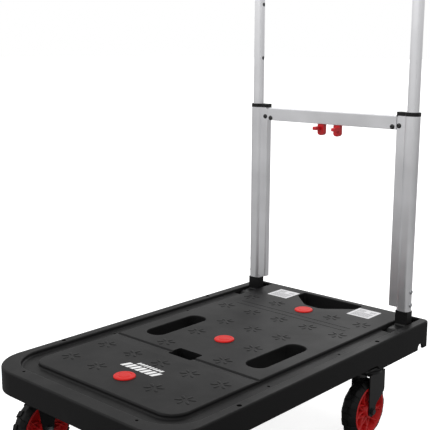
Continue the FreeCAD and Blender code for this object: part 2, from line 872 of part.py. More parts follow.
def flange_chamber(shrink, z0, z1):
    """Inside of the flange chamber of the right post, made smaller by shrink."""
    w = flange_wall + shrink
    x0 = flange_inner_x + w
    x1 = post_x - main_width / 2 - shrink
    y = flange_depth / 2 - w
    return box(x0, x1, post_y - y, post_y + y, z0, z1)


def lock_bore(x0, x1, radius):
    """Bore along X at the height of the lock rods."""
    return rod(radius, V(x0, post_y, lock_z), X_AXIS, x1 - x0)


def lower_post():
    """Right lower post: two-chamber extrusion with a window for the crossbar joint."""
    low = post_bottom - 1
    high = post_top + 1
    skin = post_skin(0, post_bottom, post_top, flange_lift)
    window = box(flange_inner_x - 1, flange_inner_x + flange_wall + 1,
                 post_y - joiner_depth / 2 - drop_in_gap, post_y + joiner_depth / 2 + drop_in_gap,
                 joiner_bottom - drop_in_gap, joiner_top + drop_in_gap)
    bore = lock_bore(flange_inner_x, post_x, rod_radius + moving_gap)
    x, z = screw_places()[0]
    screw = rod(screw_shank_radius + seat_gap, V(x, post_y - flange_depth, z), Y_AXIS,
                flange_depth)
    cuts = [chamber(0, low, high), flange_chamber(0, low, high), window, bore, screw]
    for z in rivet_heights:
        cuts.append(rod(rivet_radius + seat_gap, V(post_x, post_y, z), X_AXIS, main_width))
    return skin.cut(cuts)


def post_collar():
    """Cap on top of the right post, with the hole that guides the inner tube."""
    bottom = post_top - collar_below
    top = post_top + collar_above
    cap = post_skin(collar_overhang, bottom, top, 0)
    tab = box(flange_inner_x - collar_overhang, flange_inner_x + collar_tab,
              post_y - flange_depth / 2 - collar_overhang, post_y - flange_depth / 2,
              bottom - collar_tab, bottom + 1)
    seat = post_skin(seat_gap, bottom - collar_tab - 1, post_top, 0)
    hole = prism(rectangle(post_x, post_y, tube_width + 2 * moving_gap,
                           tube_depth + 2 * moving_gap, tube_depth / 2 + moving_gap - 0.01),
                 bottom - 1, top + 1)
    crossbar_room = box(0, flange_inner_x, post_y - flange_depth, post_y + flange_depth,
                        bottom - collar_tab - 1, crossbar_z + crossbar_height / 2)
    return fuse_all([cap, tab]).cut([seat, hole, crossbar_room])


def crossbar_outline(inset):
    """Section of the crossbar as (y, z, radius), chamfered along its top edges."""
    y = crossbar_depth / 2 - inset
    z = crossbar_height / 2 - inset
    c = crossbar_chamfer
    return [
        (post_y - y, crossbar_z - z, 1.0),
        (post_y + y, crossbar_z - z, 1.0),
        (post_y + y, crossbar_z + z - c, 0),
        (post_y + y - c, crossbar_z + z, 0),
        (post_y - y + c, crossbar_z + z, 0),
        (post_y - y, crossbar_z + z - c, 0),
    ]


def crossbar():
    """Hollow bar between the posts, slotted underneath for the two levers."""
    end = flange_inner_x
    bar = side_prism(crossbar_outline(0), -end, end)
    cuts = [side_prism(crossbar_outline(crossbar_wall), -end - 1, end + 1)]
    gap = moving_gap
    for sign in (-1, 1):
        outer = lever_x + lever_stem_width / 2 + gap
        inner = lever_x - lever_stem_width / 2 - lever_travel - gap
        x0, x1 = sorted((sign * inner, sign * outer))
        cuts.append(box(x0, x1, post_y - lever_stem_depth / 2 - gap,
                        post_y + lever_stem_depth / 2 + gap,
                        crossbar_z - crossbar_height / 2 - 1, crossbar_z))
        x, z = screw_places()[1]
        cuts.append(rod(screw_shank_radius + seat_gap, V(sign * x, post_y - crossbar_depth, z),
                        Y_AXIS, crossbar_depth))
    return bar.cut(cuts)


def crossbar_joiner():
    """Block that joins the crossbar to the right post and houses the lock spring."""
    gap = drop_in_gap
    x0 = flange_inner_x - joiner_reach
    x1 = post_x - main_width / 2 - gap
    block = box(x0, x1, post_y - joiner_depth / 2, post_y + joiner_depth / 2, joiner_bottom,
                joiner_top)
    pocket = lock_bore(spring_x0, spring_x1 + rod_collar_length + 2 * gap,
                       rod_collar_radius + moving_gap)
    cuts = [pocket, lock_bore(x0 - 1, x1 + 1, rod_radius + moving_gap)]
    for x, z in screw_places():
        cuts.append(rod(screw_shank_radius + seat_gap, V(x, post_y - joiner_depth, z), Y_AXIS,
                        joiner_depth / 2 + screw_bite + 0.5))
    return block.cut(cuts)


def screw_places():
    """Places (x, z) of the right post screw and the right crossbar screw."""
    return [
        (flange_inner_x + flange_screw_inset, crossbar_z - flange_screw_drop),
        (flange_inner_x - crossbar_screw_inset, crossbar_z - crossbar_screw_drop),
    ]


def crossbar_screws():
    """Two screws at each end: one into the post, one into the crossbar."""
    screws = []
    face = post_y - crossbar_depth / 2
    bite = crossbar_depth / 2 - joiner_depth / 2 + screw_bite
    for x, z in screw_places():
        start = V(x, face - screw_head_height, z)
        head = rod(screw_head_radius, start, Y_AXIS, screw_head_height)
        rim = [e for e in head.Edges if all(abs(v.Y - start.y) < 1e-6 for v in e.Vertexes)]
        head = head.makeFillet(screw_head_height * 0.6, rim)
        socket = hexagon(2.2, V(0, 0, 0), Z_AXIS, 1.4)
        socket.rotate(V(0, 0, 0), X_AXIS, -90)
        socket.translate(start - V(0, 0.1, 0))
        shank = rod(screw_shank_radius, V(x, face, z), Y_AXIS, bite)
        screw = fuse_all([head, shank]).cut(socket)
        screws.extend([screw, mirrored(screw)])
    return screws


# ---------------------------------------------------------------- telescope lock
def release_lever():
    """Right finger lever: stem in the crossbar, tab below it and a short finger bar."""
    bottom = crossbar_z - crossbar_height / 2
    gap = moving_gap
    tab_top = bottom - gap
    tab = side_prism([
        (post_y - lever_depth / 2, tab_top, 1),
        (post_y - lever_depth / 2, tab_top - lever_drop, 3),
        (post_y + lever_depth / 2, tab_top - lever_drop, 3),
        (post_y + lever_depth / 2, tab_top, 1),
    ], lever_x - lever_width / 2, lever_x + lever_width / 2)
    face = Part.Face(rounded_wire([
        (lever_x - lever_width / 2, tab_top + 0.5, 1.5),
        (lever_x - lever_width / 2, tab_top - lever_drop, lever_width / 2 - 0.5),
        (lever_x + lever_width / 2, tab_top - lever_drop, lever_width / 2 - 0.5),
        (lever_x + lever_width / 2, tab_top + 0.5, 1.5),
    ], lambda p: V(p.x, post_y - lever_depth, p.y)))
    tab = tab.common(face.extrude(V(0, 2 * lever_depth, 0)))
    bar_top = tab_top - lever_bar_drop
    bar_x1 = lever_x + lever_width / 2
    bar = side_prism([
        (post_y - lever_depth / 2 - lever_bar_reach, bar_top, 2),
        (post_y, bar_top, 0),
        (post_y, bar_top - lever_bar_height, 0),
        (post_y - lever_depth / 2 - lever_bar_reach, bar_top - lever_bar_height, 2),
    ], bar_x1 - lever_bar_width, bar_x1)
    stem = box(lever_x - lever_stem_width / 2, lever_x + lever_stem_width / 2,
               post_y - lever_stem_depth / 2, post_y + lever_stem_depth / 2,
               tab_top - 2, bottom + crossbar_wall + gap)
    hub = box(lever_x - lever_stem_width / 2, lever_x + lever_stem_width / 2,
              post_y - hub_depth / 2, post_y + hub_depth / 2,
              bottom + crossbar_wall + gap, lock_z + rod_radius)
    lever = fuse_all([tab, bar, stem, hub])
    return lever.cut(lock_bore(0, 2 * lever_x, rod_radius + fit))


def lock_rod():
    """Right pull rod: from the lever to the lock nose, with a collar for its spring."""
    bar = lock_bore(rod_inner_end, lock_nose_x, rod_radius)
    collar = lock_bore(spring_x1, spring_x1 + rod_collar_length, rod_collar_radius)
    return fuse_all([bar, collar])


def lock_spring():
    """Right lock spring, a coil round the rod."""
    x0 = spring_x0 + spring_wire
    x1 = spring_x1 - spring_wire
    helix = Part.makeHelix((x1 - x0) / spring_turns, x1 - x0, spring_radius)
    corners = []
    for step in range(7):
        angle = step * math.pi / 3
        corners.append(V(spring_radius + spring_wire * math.cos(angle), 0,
                         spring_wire * math.sin(angle)))
    coil = Part.Wire(helix).makePipeShell([Part.makePolygon(corners)], True, True)
    coil.rotate(V(0, 0, 0), Y_AXIS, 90)
    coil.translate(V(x0, post_y, lock_z))
    return coil


# ---------------------------------------------------------------- handle, upper part
def tube_outline(grow):
    """Section of the inner tube of the right post, grown outwards."""
    width = tube_width + 2 * grow
    depth = tube_depth + 2 * grow
    return rectangle(post_x, post_y, width, depth, depth / 2 - 0.01)


def inner_tube():
    """Right telescoping tube with its row of lock holes."""
    tube = prism(tube_outline(0), tube_bottom, leg_top)
    cuts = [prism(tube_outline(-tube_wall), tube_bottom - 1, leg_top + 1)]
    for index in range(lock_hole_count):
        z = lock_z + index * lock_hole_pitch
        cuts.append(rod(lock_hole_radius, V(post_x - tube_width, post_y, z), X_AXIS, tube_width))
    return tube.cut(cuts)


def guide_bush():
    """Plastic bush on the lower end of the right inner tube."""
    slider = chamber(moving_gap, tube_bottom - bush_height, tube_bottom)
    spigot = prism(tube_outline(-tube_wall - fit), tube_bottom - 0.5, tube_bottom + bush_spigot)
    return fuse_all([slider, spigot])


def handle_elbow():
    """Right corner piece: a quarter bend with a spigot into the tube at each end."""
    grow = elbow_wall_over_tube
    corner_z = leg_top + elbow_straight
    centre = V(post_x - handle_bend_radius, 0, corner_z)
    section = Part.Face(rounded_wire(tube_outline(grow), flat(corner_z)))
    bend = section.revolve(centre, V(0, -1, 0), 90)
    lower = prism(tube_outline(grow), leg_top, corner_z)
    upper_face = section.copy()
    upper_face.rotate(centre, V(0, -1, 0), 90)
    upper = upper_face.extrude(V(-elbow_straight, 0, 0))
    spigot = prism(tube_outline(-tube_wall - fit), leg_top - elbow_spigot, leg_top + 1)
    plug_face = Part.Face(rounded_wire(tube_outline(-tube_wall - fit), flat(corner_z)))
    plug_face.rotate(centre, V(0, -1, 0), 90)
    plug = plug_face.extrude(V(-elbow_straight - elbow_spigot, 0, 0))
    return fuse_all([bend, lower, upper, spigot, plug])


def across_outline(grow):
    """Tube section turned to run along X at grip height, as (y, z, radius)."""
    depth = tube_depth + 2 * grow
    width = tube_width + 2 * grow
    return rectangle(post_y, grip_z, depth, width, depth / 2 - 0.01)


def top_bar():
    """Tube across the top of the handle."""
    end = post_x - handle_bend_radius - elbow_straight
    outer = side_prism(across_outline(0), -end, end)
    return outer.cut(side_prism(across_outline(-tube_wall), -end - 1, end + 1))


def grip_sleeve():
    """Rubber sleeve round the top bar."""
    half = grip_length / 2
    sleeve = side_prism(across_outline(grip_rubber), -half, half)
    return sleeve.cut(side_prism(across_outline(seat_gap), -half - 1, half + 1))


# ---------------------------------------------------------------- hinge
def hinge_foot():
    """Right foot: spigot in the post, block through the deck and a toe round the pin."""
    x0 = post_x - foot_width / 2
    x1 = post_x + foot_width / 2
    front = post_y - foot_depth / 2
    rear = post_y + foot_depth / 2
    block = side_prism([
        (front, post_bottom, 0),
        (front, hinge_z + foot_toe_radius, 4),
        (hinge_y, hinge_z + foot_toe_radius, 0),
        (hinge_y, hinge_z - foot_toe_radius, 0),
        (rear, hinge_z - foot_toe_radius, foot_heel_radius),
        (rear, post_bottom, 0),
    ], x0, x1)
    toe = rod(foot_toe_radius, V(x0, hinge_y, hinge_z), X_AXIS, foot_width)
    spigot = chamber(seat_gap, post_bottom - 0.5, post_bottom + foot_spigot)
    bore = rod(hinge_pin_radius + fit, V(x0 - 1, hinge_y, hinge_z), X_AXIS, foot_width + 2)
    cuts = [bore]
    for z in rivet_heights:
        cuts.append(rod(rivet_radius + seat_gap, V(post_x, post_y, z), X_AXIS, main_width))
    cuts.append(Part.makeSphere(plunger_nose + moving_gap, plunger_place(x0)))
    return fuse_all([block, toe, spigot]).cut(cuts)


def plunger_place(x):
    """Point on the foot's inner side where the detent plunger meets it."""
    return V(x, post_y, hinge_z - plunger_drop)


def foot_rivets():
    """Two rivets through the outer wall of the right post into the foot."""
    rivets = []
    for z in rivet_heights:
        face = post_x + main_width / 2
        shank = rod(rivet_radius, V(post_x + 2, post_y, z), X_AXIS, main_width / 2 - 2)
        head = rod(rivet_head_radius, V(face, post_y, z), X_AXIS, rivet_head_height)
        head = head.makeFillet(rivet_head_height * 0.7,
                               [e for e in head.Edges
                                if all(abs(v.X - face - rivet_head_height) < 1e-6
                                       for v in e.Vertexes)])
        rivets.append(fuse_all([shank, head]))
    return rivets


def hinge_bracket():
    """Right hinge bracket: two cheeks, a rear web that stops the foot, and flanges."""
    inner = bracket_cheek_x
    outer = inner + bracket_steel
    cheeks = []
    for sign in (-1, 1):
        x0, x1 = sorted((post_x + sign * inner, post_x + sign * outer))
        cheeks.append(box(x0, x1, bracket_front, bracket_end, bracket_bottom, bracket_top))
        f0, f1 = sorted((post_x + sign * inner, post_x + sign * (outer + bracket_flange)))
        cheeks.append(box(f0, f1, flange_start, bracket_end, bracket_top - bracket_steel,
                          bracket_top))
    web = box(post_x - outer, post_x + outer, bracket_rear, bracket_end, bracket_bottom,
              bracket_top)
    bracket = fuse_all(cheeks + [web])
    cuts = [rod(hinge_pin_radius + seat_gap, V(post_x - 2 * outer, hinge_y, hinge_z), X_AXIS,
                4 * outer)]
    place = plunger_place(post_x - outer - 1)
    cuts.append(rod(plunger_radius + seat_gap, place, X_AXIS, bracket_steel + 2))
    for x, y in bracket_bolt_places():
        cuts.append(rod(2.6, V(x, y, bracket_top - bracket_steel - 1), Z_AXIS,
                        bracket_steel + 2))
    return bracket.cut(cuts)


def bracket_bolt_places():
    """Bolt positions in the flanges of the right bracket."""
    reach = bracket_cheek_x + bracket_steel + bracket_flange / 2
    places = []
    for sign in (-1, 1):
        for y in (flange_start + bracket_bolt_margin, bracket_end - bracket_bolt_margin):
            places.append((post_x + sign * reach, y))
    return places


def bracket_bolts():
    """Four bolts that hold the right bracket up under the deck."""
    bolts = []
    for x, y in bracket_bolt_places():
        low = bracket_top - bracket_steel
        shank = rod(2.5, V(x, y, low), Z_AXIS, bracket_steel)
        head = hexagon(4.4, V(x, y, low - 3), Z_AXIS, 3)
        bolts.append(fuse_all([shank, head]))
    return bolts


def hinge_pin():
    """Right hinge pin with a head outside each cheek."""
    half = bracket_cheek_x + bracket_steel
    pin = rod(hinge_pin_radius, V(post_x - half, hinge_y, hinge_z), X_AXIS, 2 * half)
    heads = []
    for start in (post_x - half - hinge_pin_head_height, post_x + half):
        heads.append(rod(hinge_pin_head, V(start, hinge_y, hinge_z), X_AXIS,
                         hinge_pin_head_height))
    return fuse_all([pin] + heads)


def detent_plunger():
    """Spring plunger in the right bracket; its nose meets a dimple in the foot."""
    outer = bracket_cheek_x + bracket_steel
    start = plunger_place(post_x - outer - plunger_length + bracket_steel)
    body = rod(plunger_radius, start, X_AXIS, plunger_length)
    nose_x = post_x - bracket_cheek_x + plunger_reach - plunger_nose
    nose = Part.makeSphere(plunger_nose, plunger_place(nose_x))
    return fuse_all([body, nose])


# ---------------------------------------------------------------- assembly
def build_nodes():
    """All nodes of the cart, each a list of separate solids."""
    nodes = {
        "deck_shell": [deck_shell()],
        "front_cross_beam": [cross_beam(front_beam_y)],
        "rear_cross_beam": [cross_beam(rear_beam_y)],
        "centre_rail": [centre_rail()],
        "front_cap": [round_cap(-cap_spacing)],
        "middle_cap": [round_cap(0)],
        "rear_cap": [round_cap(cap_spacing)],
        "crossbar": [crossbar()],
        "crossbar_screws": crossbar_screws(),
        "top_bar": [top_bar()],
        "grip_sleeve": [grip_sleeve()],
    }
    paired = {
        "hinge_bracket": hinge_bracket(),
        "hinge_pin": hinge_pin(),
        "hinge_foot": hinge_foot(),
        "lower_post": lower_post(),
        "post_collar": post_collar(),
        "crossbar_joiner": crossbar_joiner(),
        "release_lever": release_lever(),
        "lock_rod": lock_rod(),
        "lock_spring": lock_spring(),
        "inner_tube": inner_tube(),
        "guide_bush": guide_bush(),
        "handle_elbow": handle_elbow(),
    }
    groups = {
        "bracket_bolts": bracket_bolts(),
        "foot_rivets": foot_rivets(),
        "detent_plungers": [detent_plunger()],
        "rear_kingpins": [kingpin(caster_x, rear_kingpin_y)],
        "front_axle_bolts": [axle_bolt(caster_x, front_axle_y)],
        "caster_bolts": plate_bolts(caster_x, front_beam_y) + plate_bolts(caster_x, rear_beam_y),
    }
    for name, solids in groups.items():
        nodes[name] = solids + [mirrored(solid) for solid in solids]
    for side, sign in SIDES:
        nodes[side + "_label"] = [label(sign)]
        for name, solid in paired.items():
            nodes[side + "_" + name] = [on_side(solid, sign)]
        x = sign * caster_x
        rear_axle_y = rear_kingpin_y - caster_trail
        nodes["front_" + side + "_caster_fork"] = [rigid_caster(x, front_axle_y)]
        nodes["rear_" + side + "_caster_plate"] = [swivel_plate(x, rear_kingpin_y)]
        nodes["rear_" + side + "_caster_fork"] = [swivel_fork(x, rear_kingpin_y)]
        nodes["rear_" + side + "_axle_bolt"] = [axle_bolt(x, rear_axle_y)]
        for end, axle_y in (("front", front_axle_y), ("rear", rear_axle_y)):
            nodes[end + "_" + side + "_rim"] = [wheel_rim(x, axle_y)]
            nodes[end + "_" + side + "_tyre"] = [tyre(x, axle_y)]
    return nodes


def main():
    """Write one STEP file for each node."""
    os.makedirs("parts", exist_ok=True)
    for name, solids in build_nodes().items():
        shape = solids[0] if len(solids) == 1 else Part.makeCompound(solids)
        if not shape.isValid():
            raise ValueError(name + " is not a valid shape")
        shape.exportStep(os.path.join("parts", name + ".step"))
        print(name, len(shape.Solids), "solids", round(shape.Volume / 1000, 2), "cm3")


if __name__ == "__main__":
    main()
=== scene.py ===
"""Looks of a folding platform cart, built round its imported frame.

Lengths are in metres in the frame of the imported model: X across the deck, Y along it towards
the handle, Z up, with the origin on the ground under the middle of the deck.
"""
from __future__ import annotations

import json
import logging
import math
from dataclasses import dataclass
from enum import Enum
from typing import Any, Dict, Iterable, List, Optional, Sequence, Tuple

import bmesh
import bpy
from mathutils import Matrix, Vector


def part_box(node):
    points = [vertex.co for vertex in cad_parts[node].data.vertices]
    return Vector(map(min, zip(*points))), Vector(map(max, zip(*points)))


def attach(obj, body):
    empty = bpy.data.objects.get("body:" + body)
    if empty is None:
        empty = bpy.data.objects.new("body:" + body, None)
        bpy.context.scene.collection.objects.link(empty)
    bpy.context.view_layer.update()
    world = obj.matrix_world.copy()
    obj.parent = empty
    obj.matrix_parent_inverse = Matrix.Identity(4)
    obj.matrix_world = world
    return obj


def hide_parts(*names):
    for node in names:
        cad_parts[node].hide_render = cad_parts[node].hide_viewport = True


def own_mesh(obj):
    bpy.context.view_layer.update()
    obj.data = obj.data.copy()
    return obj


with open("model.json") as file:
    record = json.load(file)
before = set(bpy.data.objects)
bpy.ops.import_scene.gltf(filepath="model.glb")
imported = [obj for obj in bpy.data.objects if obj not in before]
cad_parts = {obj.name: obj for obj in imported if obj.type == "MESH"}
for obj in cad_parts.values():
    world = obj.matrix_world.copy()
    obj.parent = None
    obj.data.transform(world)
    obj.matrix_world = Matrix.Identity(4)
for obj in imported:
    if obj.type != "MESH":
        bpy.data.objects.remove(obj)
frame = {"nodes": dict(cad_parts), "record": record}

LOG = logging.getLogger("cart")
Colour = Tuple[float, float, float]
Profile = Sequence[Tuple[float, float]]
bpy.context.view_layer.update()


class Axis(Enum):
    """A direction of the frame."""

    X = (1.0, 0.0, 0.0)
    Y = (0.0, 1.0, 0.0)
    Z = (0.0, 0.0, 1.0)

    def turn(self) -> Matrix:
        """Turn that brings +Z onto this direction."""
        return Vector((0.0, 0.0, 1.0)).rotation_difference(Vector(self.value)).to_matrix().to_4x4()


class Side(Enum):
    """A side of the cart and its sign along X."""

    LEFT = ("left", -1.0)
    RIGHT = ("right", 1.0)

    @property
    def label(self) -> str:
        """Word used in names."""
        return self.value[0]

    @property
    def sign(self) -> float:
        """Sign of X on this side."""
        return self.value[1]


# ---------------------------------------------------------------- node trees
class Graph:
    """Short calls for adding and linking the nodes of one tree."""

    def __init__(self, tree: bpy.types.NodeTree) -> None:
        """Work on the given tree."""
        self.tree = tree

    def add(self, kind: str, inputs: Optional[Dict[Any, Any]] = None,
            **settings: Any) -> bpy.types.Node:
        """Add a node.

        Args:
            kind: Node type identifier.
            inputs: Value or output socket for each input, by name or number.
            **settings: Properties to set on the node first.

        Returns:
            The new node.
        """
        node = self.tree.nodes.new(kind)
        for name, value in settings.items():
            setattr(node, name, value)
        for key, value in (inputs or {}).items():
            if isinstance(value, bpy.types.NodeSocket):
                self.tree.links.new(value, node.inputs[key])
            else:
                node.inputs[key].default_value = value
        return node

    def maths(self, operation: str, *values: Any) -> bpy.types.NodeSocket:
        """Add a Math node and return its result."""
        node = self.add("ShaderNodeMath", dict(enumerate(values)), operation=operation)
        return node.outputs[0]

    def blend(self, factor: Any, first: Any, second: Any) -> bpy.types.NodeSocket:
        """Mix two colours by a factor and return the colour."""
        node = self.add("ShaderNodeMix", data_type="RGBA")
        for key, value in ((0, factor), (6, first), (7, second)):
            if isinstance(value, bpy.types.NodeSocket):
                self.tree.links.new(value, node.inputs[key])
            elif key:
                node.inputs[key].default_value = (*value, 1.0)
            else:
                node.inputs[key].default_value = value
        return node.outputs[2]

    def spread(self, value: Any, low: float, high: float, to_low: float,
               to_high: float) -> bpy.types.NodeSocket:
        """Map a range of a value onto another, clamped, and return the result."""
        node = self.add("ShaderNodeMapRange", {"Value": value, "From Min": low, "From Max": high,
                                               "To Min": to_low, "To Max": to_high})
        return node.outputs[0]

    def noise(self, vector: Any, scale: Any, detail: float = 3.0) -> bpy.types.NodeSocket:
        """Add a noise texture and return its value."""
        node = self.add("ShaderNodeTexNoise", {"Vector": vector, "Scale": scale,
                                               "Detail": detail})
        return node.outputs[0]


def socket_group(name: str, tree_type: str, inputs: Sequence[Tuple[str, str, Any]],
                 outputs: Sequence[Tuple[str, str]]) -> Tuple[Graph, Any, Any]:
    """Start a node group with named sockets.

    Args:
        name: Group name.
        tree_type: Identifier of the tree type.
        inputs: Name, socket type and default value (or None) of each input.
        outputs: Name and socket type of each output.

    Returns:
        The graph, its input node and its output node.
    """
    tree = bpy.data.node_groups.new(name, tree_type)
    for label, kind, default in inputs:
        made = tree.interface.new_socket(name=label, in_out="INPUT", socket_type=kind)
        if default is not None:
            made.default_value = default
    for label, kind in outputs:
        tree.interface.new_socket(name=label, in_out="OUTPUT", socket_type=kind)
    graph = Graph(tree)
    return graph, graph.add("NodeGroupInput"), graph.add("NodeGroupOutput")


FLOAT = "NodeSocketFloat"
VECTOR = "NodeSocketVector"


class Effects:
    """Shader groups that several finishes share."""

    def __init__(self) -> None:
        """Build each group once."""
        self.grain = self._grain()
        self.brushing = self._brushing()
        self.scuffs = self._scuffs()
        self.dust = self._dust()

    @staticmethod
    def _grain() -> bpy.types.NodeTree:
        """Fine pebbled grain of moulded or painted parts, with slow tone changes."""
        g, given, out = socket_group(
            "pebbled_grain", "ShaderNodeTree",
            [("Grain Scale", FLOAT, 900.0), ("Tone Scale", FLOAT, 9.0)],
            [("Height", FLOAT), ("Tone", FLOAT)])
        place = g.add("ShaderNodeTexCoord").outputs["Object"]
        pebbles = g.add("ShaderNodeTexVoronoi", {"Vector": place, "Scale": given.outputs[0]},
                        feature="SMOOTH_F1")
        fine = g.noise(place, g.maths("MULTIPLY", given.outputs[0], 0.35), 4.0)
        height = g.maths("ADD", g.maths("MULTIPLY", pebbles.outputs[0], 0.5), fine)
        tone = g.noise(place, given.outputs[1], 4.0)
        g.tree.links.new(height, out.inputs[0])
        g.tree.links.new(g.spread(tone, 0.3, 0.7, 0.0, 1.0), out.inputs[1])
        return g.tree

    @staticmethod
    def _brushing() -> bpy.types.NodeTree:
        """Fine drawn lines of extruded or brushed metal."""
        g, given, out = socket_group(
            "drawn_lines", "ShaderNodeTree",
            [("Stretch", VECTOR, (900.0, 900.0, 6.0)), ("Blotch Scale", FLOAT, 14.0)],
            [("Lines", FLOAT), ("Blotches", FLOAT)])
        place = g.add("ShaderNodeTexCoord").outputs["Object"]
        stretched = g.add("ShaderNodeVectorMath", {0: place, 1: given.outputs[0]},
                          operation="MULTIPLY").outputs[0]
        g.tree.links.new(g.noise(stretched, 1.0, 5.0), out.inputs[0])
        g.tree.links.new(g.noise(place, given.outputs[1], 3.0), out.inputs[1])
        return g.tree

    @staticmethod
    def _scuffs() -> bpy.types.NodeTree:
        """Thin crossing scratches and rubbed patches."""
        g, given, out = socket_group(
            "scuffs", "ShaderNodeTree",
            [("Scale", FLOAT, 30.0), ("Amount", FLOAT, 0.5)], [("Mask", FLOAT)])
        place = g.add("ShaderNodeTexCoord").outputs["Object"]
        marks = None
        for angle, squeeze in ((0.5, 22.0), (-0.9, 30.0)):
            turned = g.add("ShaderNodeMapping", {"Vector": place, "Rotation": (0.0, 0.0, angle),
                                                 "Scale": (1.0, squeeze, 1.0)}).outputs[0]
            streak = g.spread(g.noise(turned, given.outputs[0], 1.0), 0.66, 0.78, 0.0, 1.0)
            marks = streak if marks is None else g.maths("MAXIMUM", marks, streak)
        patches = g.spread(g.noise(place, 11.0, 3.0), 0.45, 0.7, 0.0, 1.0)
        mask = g.maths("MULTIPLY", g.maths("MULTIPLY", marks, patches), given.outputs[1])
        g.tree.links.new(mask, out.inputs[0])
        return g.tree

    @staticmethod
    def _dust() -> bpy.types.NodeTree:
        """Light dust that settles on faces that look up."""
        g, given, out = socket_group("settled_dust", "ShaderNodeTree",
                                     [("Amount", FLOAT, 0.3)], [("Mask", FLOAT)])
        normal = g.add("ShaderNodeNewGeometry").outputs["Normal"]
        split = g.add("ShaderNodeSeparateXYZ", {0: normal})
        up = g.spread(split.outputs[2], 0.5, 1.0, 0.0, 1.0)
        place = g.add("ShaderNodeTexCoord").outputs["Object"]
        cloud = g.spread(g.noise(place, 26.0, 6.0), 0.35, 0.75, 0.0, 1.0)
        mask = g.maths("MULTIPLY", g.maths("MULTIPLY", up, cloud), given.outputs[0])
        g.tree.links.new(mask, out.inputs[0])
        return g.tree


def group_node(g: Graph, tree: bpy.types.NodeTree, **values: Any) -> bpy.types.Node:
    """Place a shader group, setting inputs by name with underscores for spaces."""
    node = g.add("ShaderNodeGroup", node_tree=tree)
    for name, value in values.items():
        node.inputs[name.replace("_", " ")].default_value = value
    return node


@dataclass(frozen=True)
class Finish:
    """A surface finish.

    Attributes:
        name: Material name.
        colour: Base colour, linear.
        roughness: Mean roughness.
        metallic: 0 for plastics and paint, 1 for bare metal.
        grain_scale: Cells per metre of the fine grain.
        grain_depth: Depth of the grain in metres.
        tone: How far the slow colour change goes.
        scuff: Strength of the scratches.
        dust: Strength of the dust on upper faces.
        lines: Stretch of drawn lines, or None for a moulded surface.
        specular: Specular level.
    """

    name: str
    colour: Colour
    roughness: float
    metallic: float = 0.0
    grain_scale: float = 900.0
    grain_depth: float = 0.00006
    tone: float = 0.25
    scuff: float = 0.3
    dust: float = 0.1
    lines: Optional[Tuple[float, float, float]] = None
    specular: float = 0.5

    def material(self, effects: Effects) -> bpy.types.Material:
        """Build the material.

        Args:
            effects: The shared shader groups.

        Returns:
            The material, ready for a slot.
        """
        made = bpy.data.materials.new(self.name)
        made.use_nodes = True
        g = Graph(made.node_tree)
        shader = made.node_tree.nodes["Principled BSDF"]
        shader.inputs["Metallic"].default_value = self.metallic
        shader.inputs["Specular IOR Level"].default_value = self.specular
        if self.lines:
            drawn = group_node(g, effects.brushing, Stretch=self.lines)
            height = drawn.outputs[0]
            tone = g.spread(drawn.outputs[1], 0.3, 0.7, 0.0, 1.0)
        else:
            pebbles = group_node(g, effects.grain, Grain_Scale=self.grain_scale)
            height, tone = pebbles.outputs
        scuffs = group_node(g, effects.scuffs, Amount=self.scuff).outputs[0]
        dust = group_node(g, effects.dust, Amount=self.dust).outputs[0]
        darker = tuple(c * (1.0 - self.tone) for c in self.colour)
        lighter = tuple(min(1.0, c * 1.6 + 0.006) for c in self.colour)
        colour = g.blend(tone, darker, self.colour)
        colour = g.blend(scuffs, colour, lighter)
        colour = g.blend(dust, colour, (0.30, 0.29, 0.28))
        rough = g.spread(tone, 0.0, 1.0, self.roughness - 0.04, self.roughness + 0.05)
        rough = g.maths("ADD", rough, g.maths("MULTIPLY", scuffs, 0.12))
        bump = g.add("ShaderNodeBump", {"Height": height, "Distance": self.grain_depth,
                                        "Strength": 1.0})
        for socket, name in ((colour, "Base Color"), (rough, "Roughness"),
                             (bump.outputs[0], "Normal")):
            g.tree.links.new(socket, shader.inputs[name])
        return made


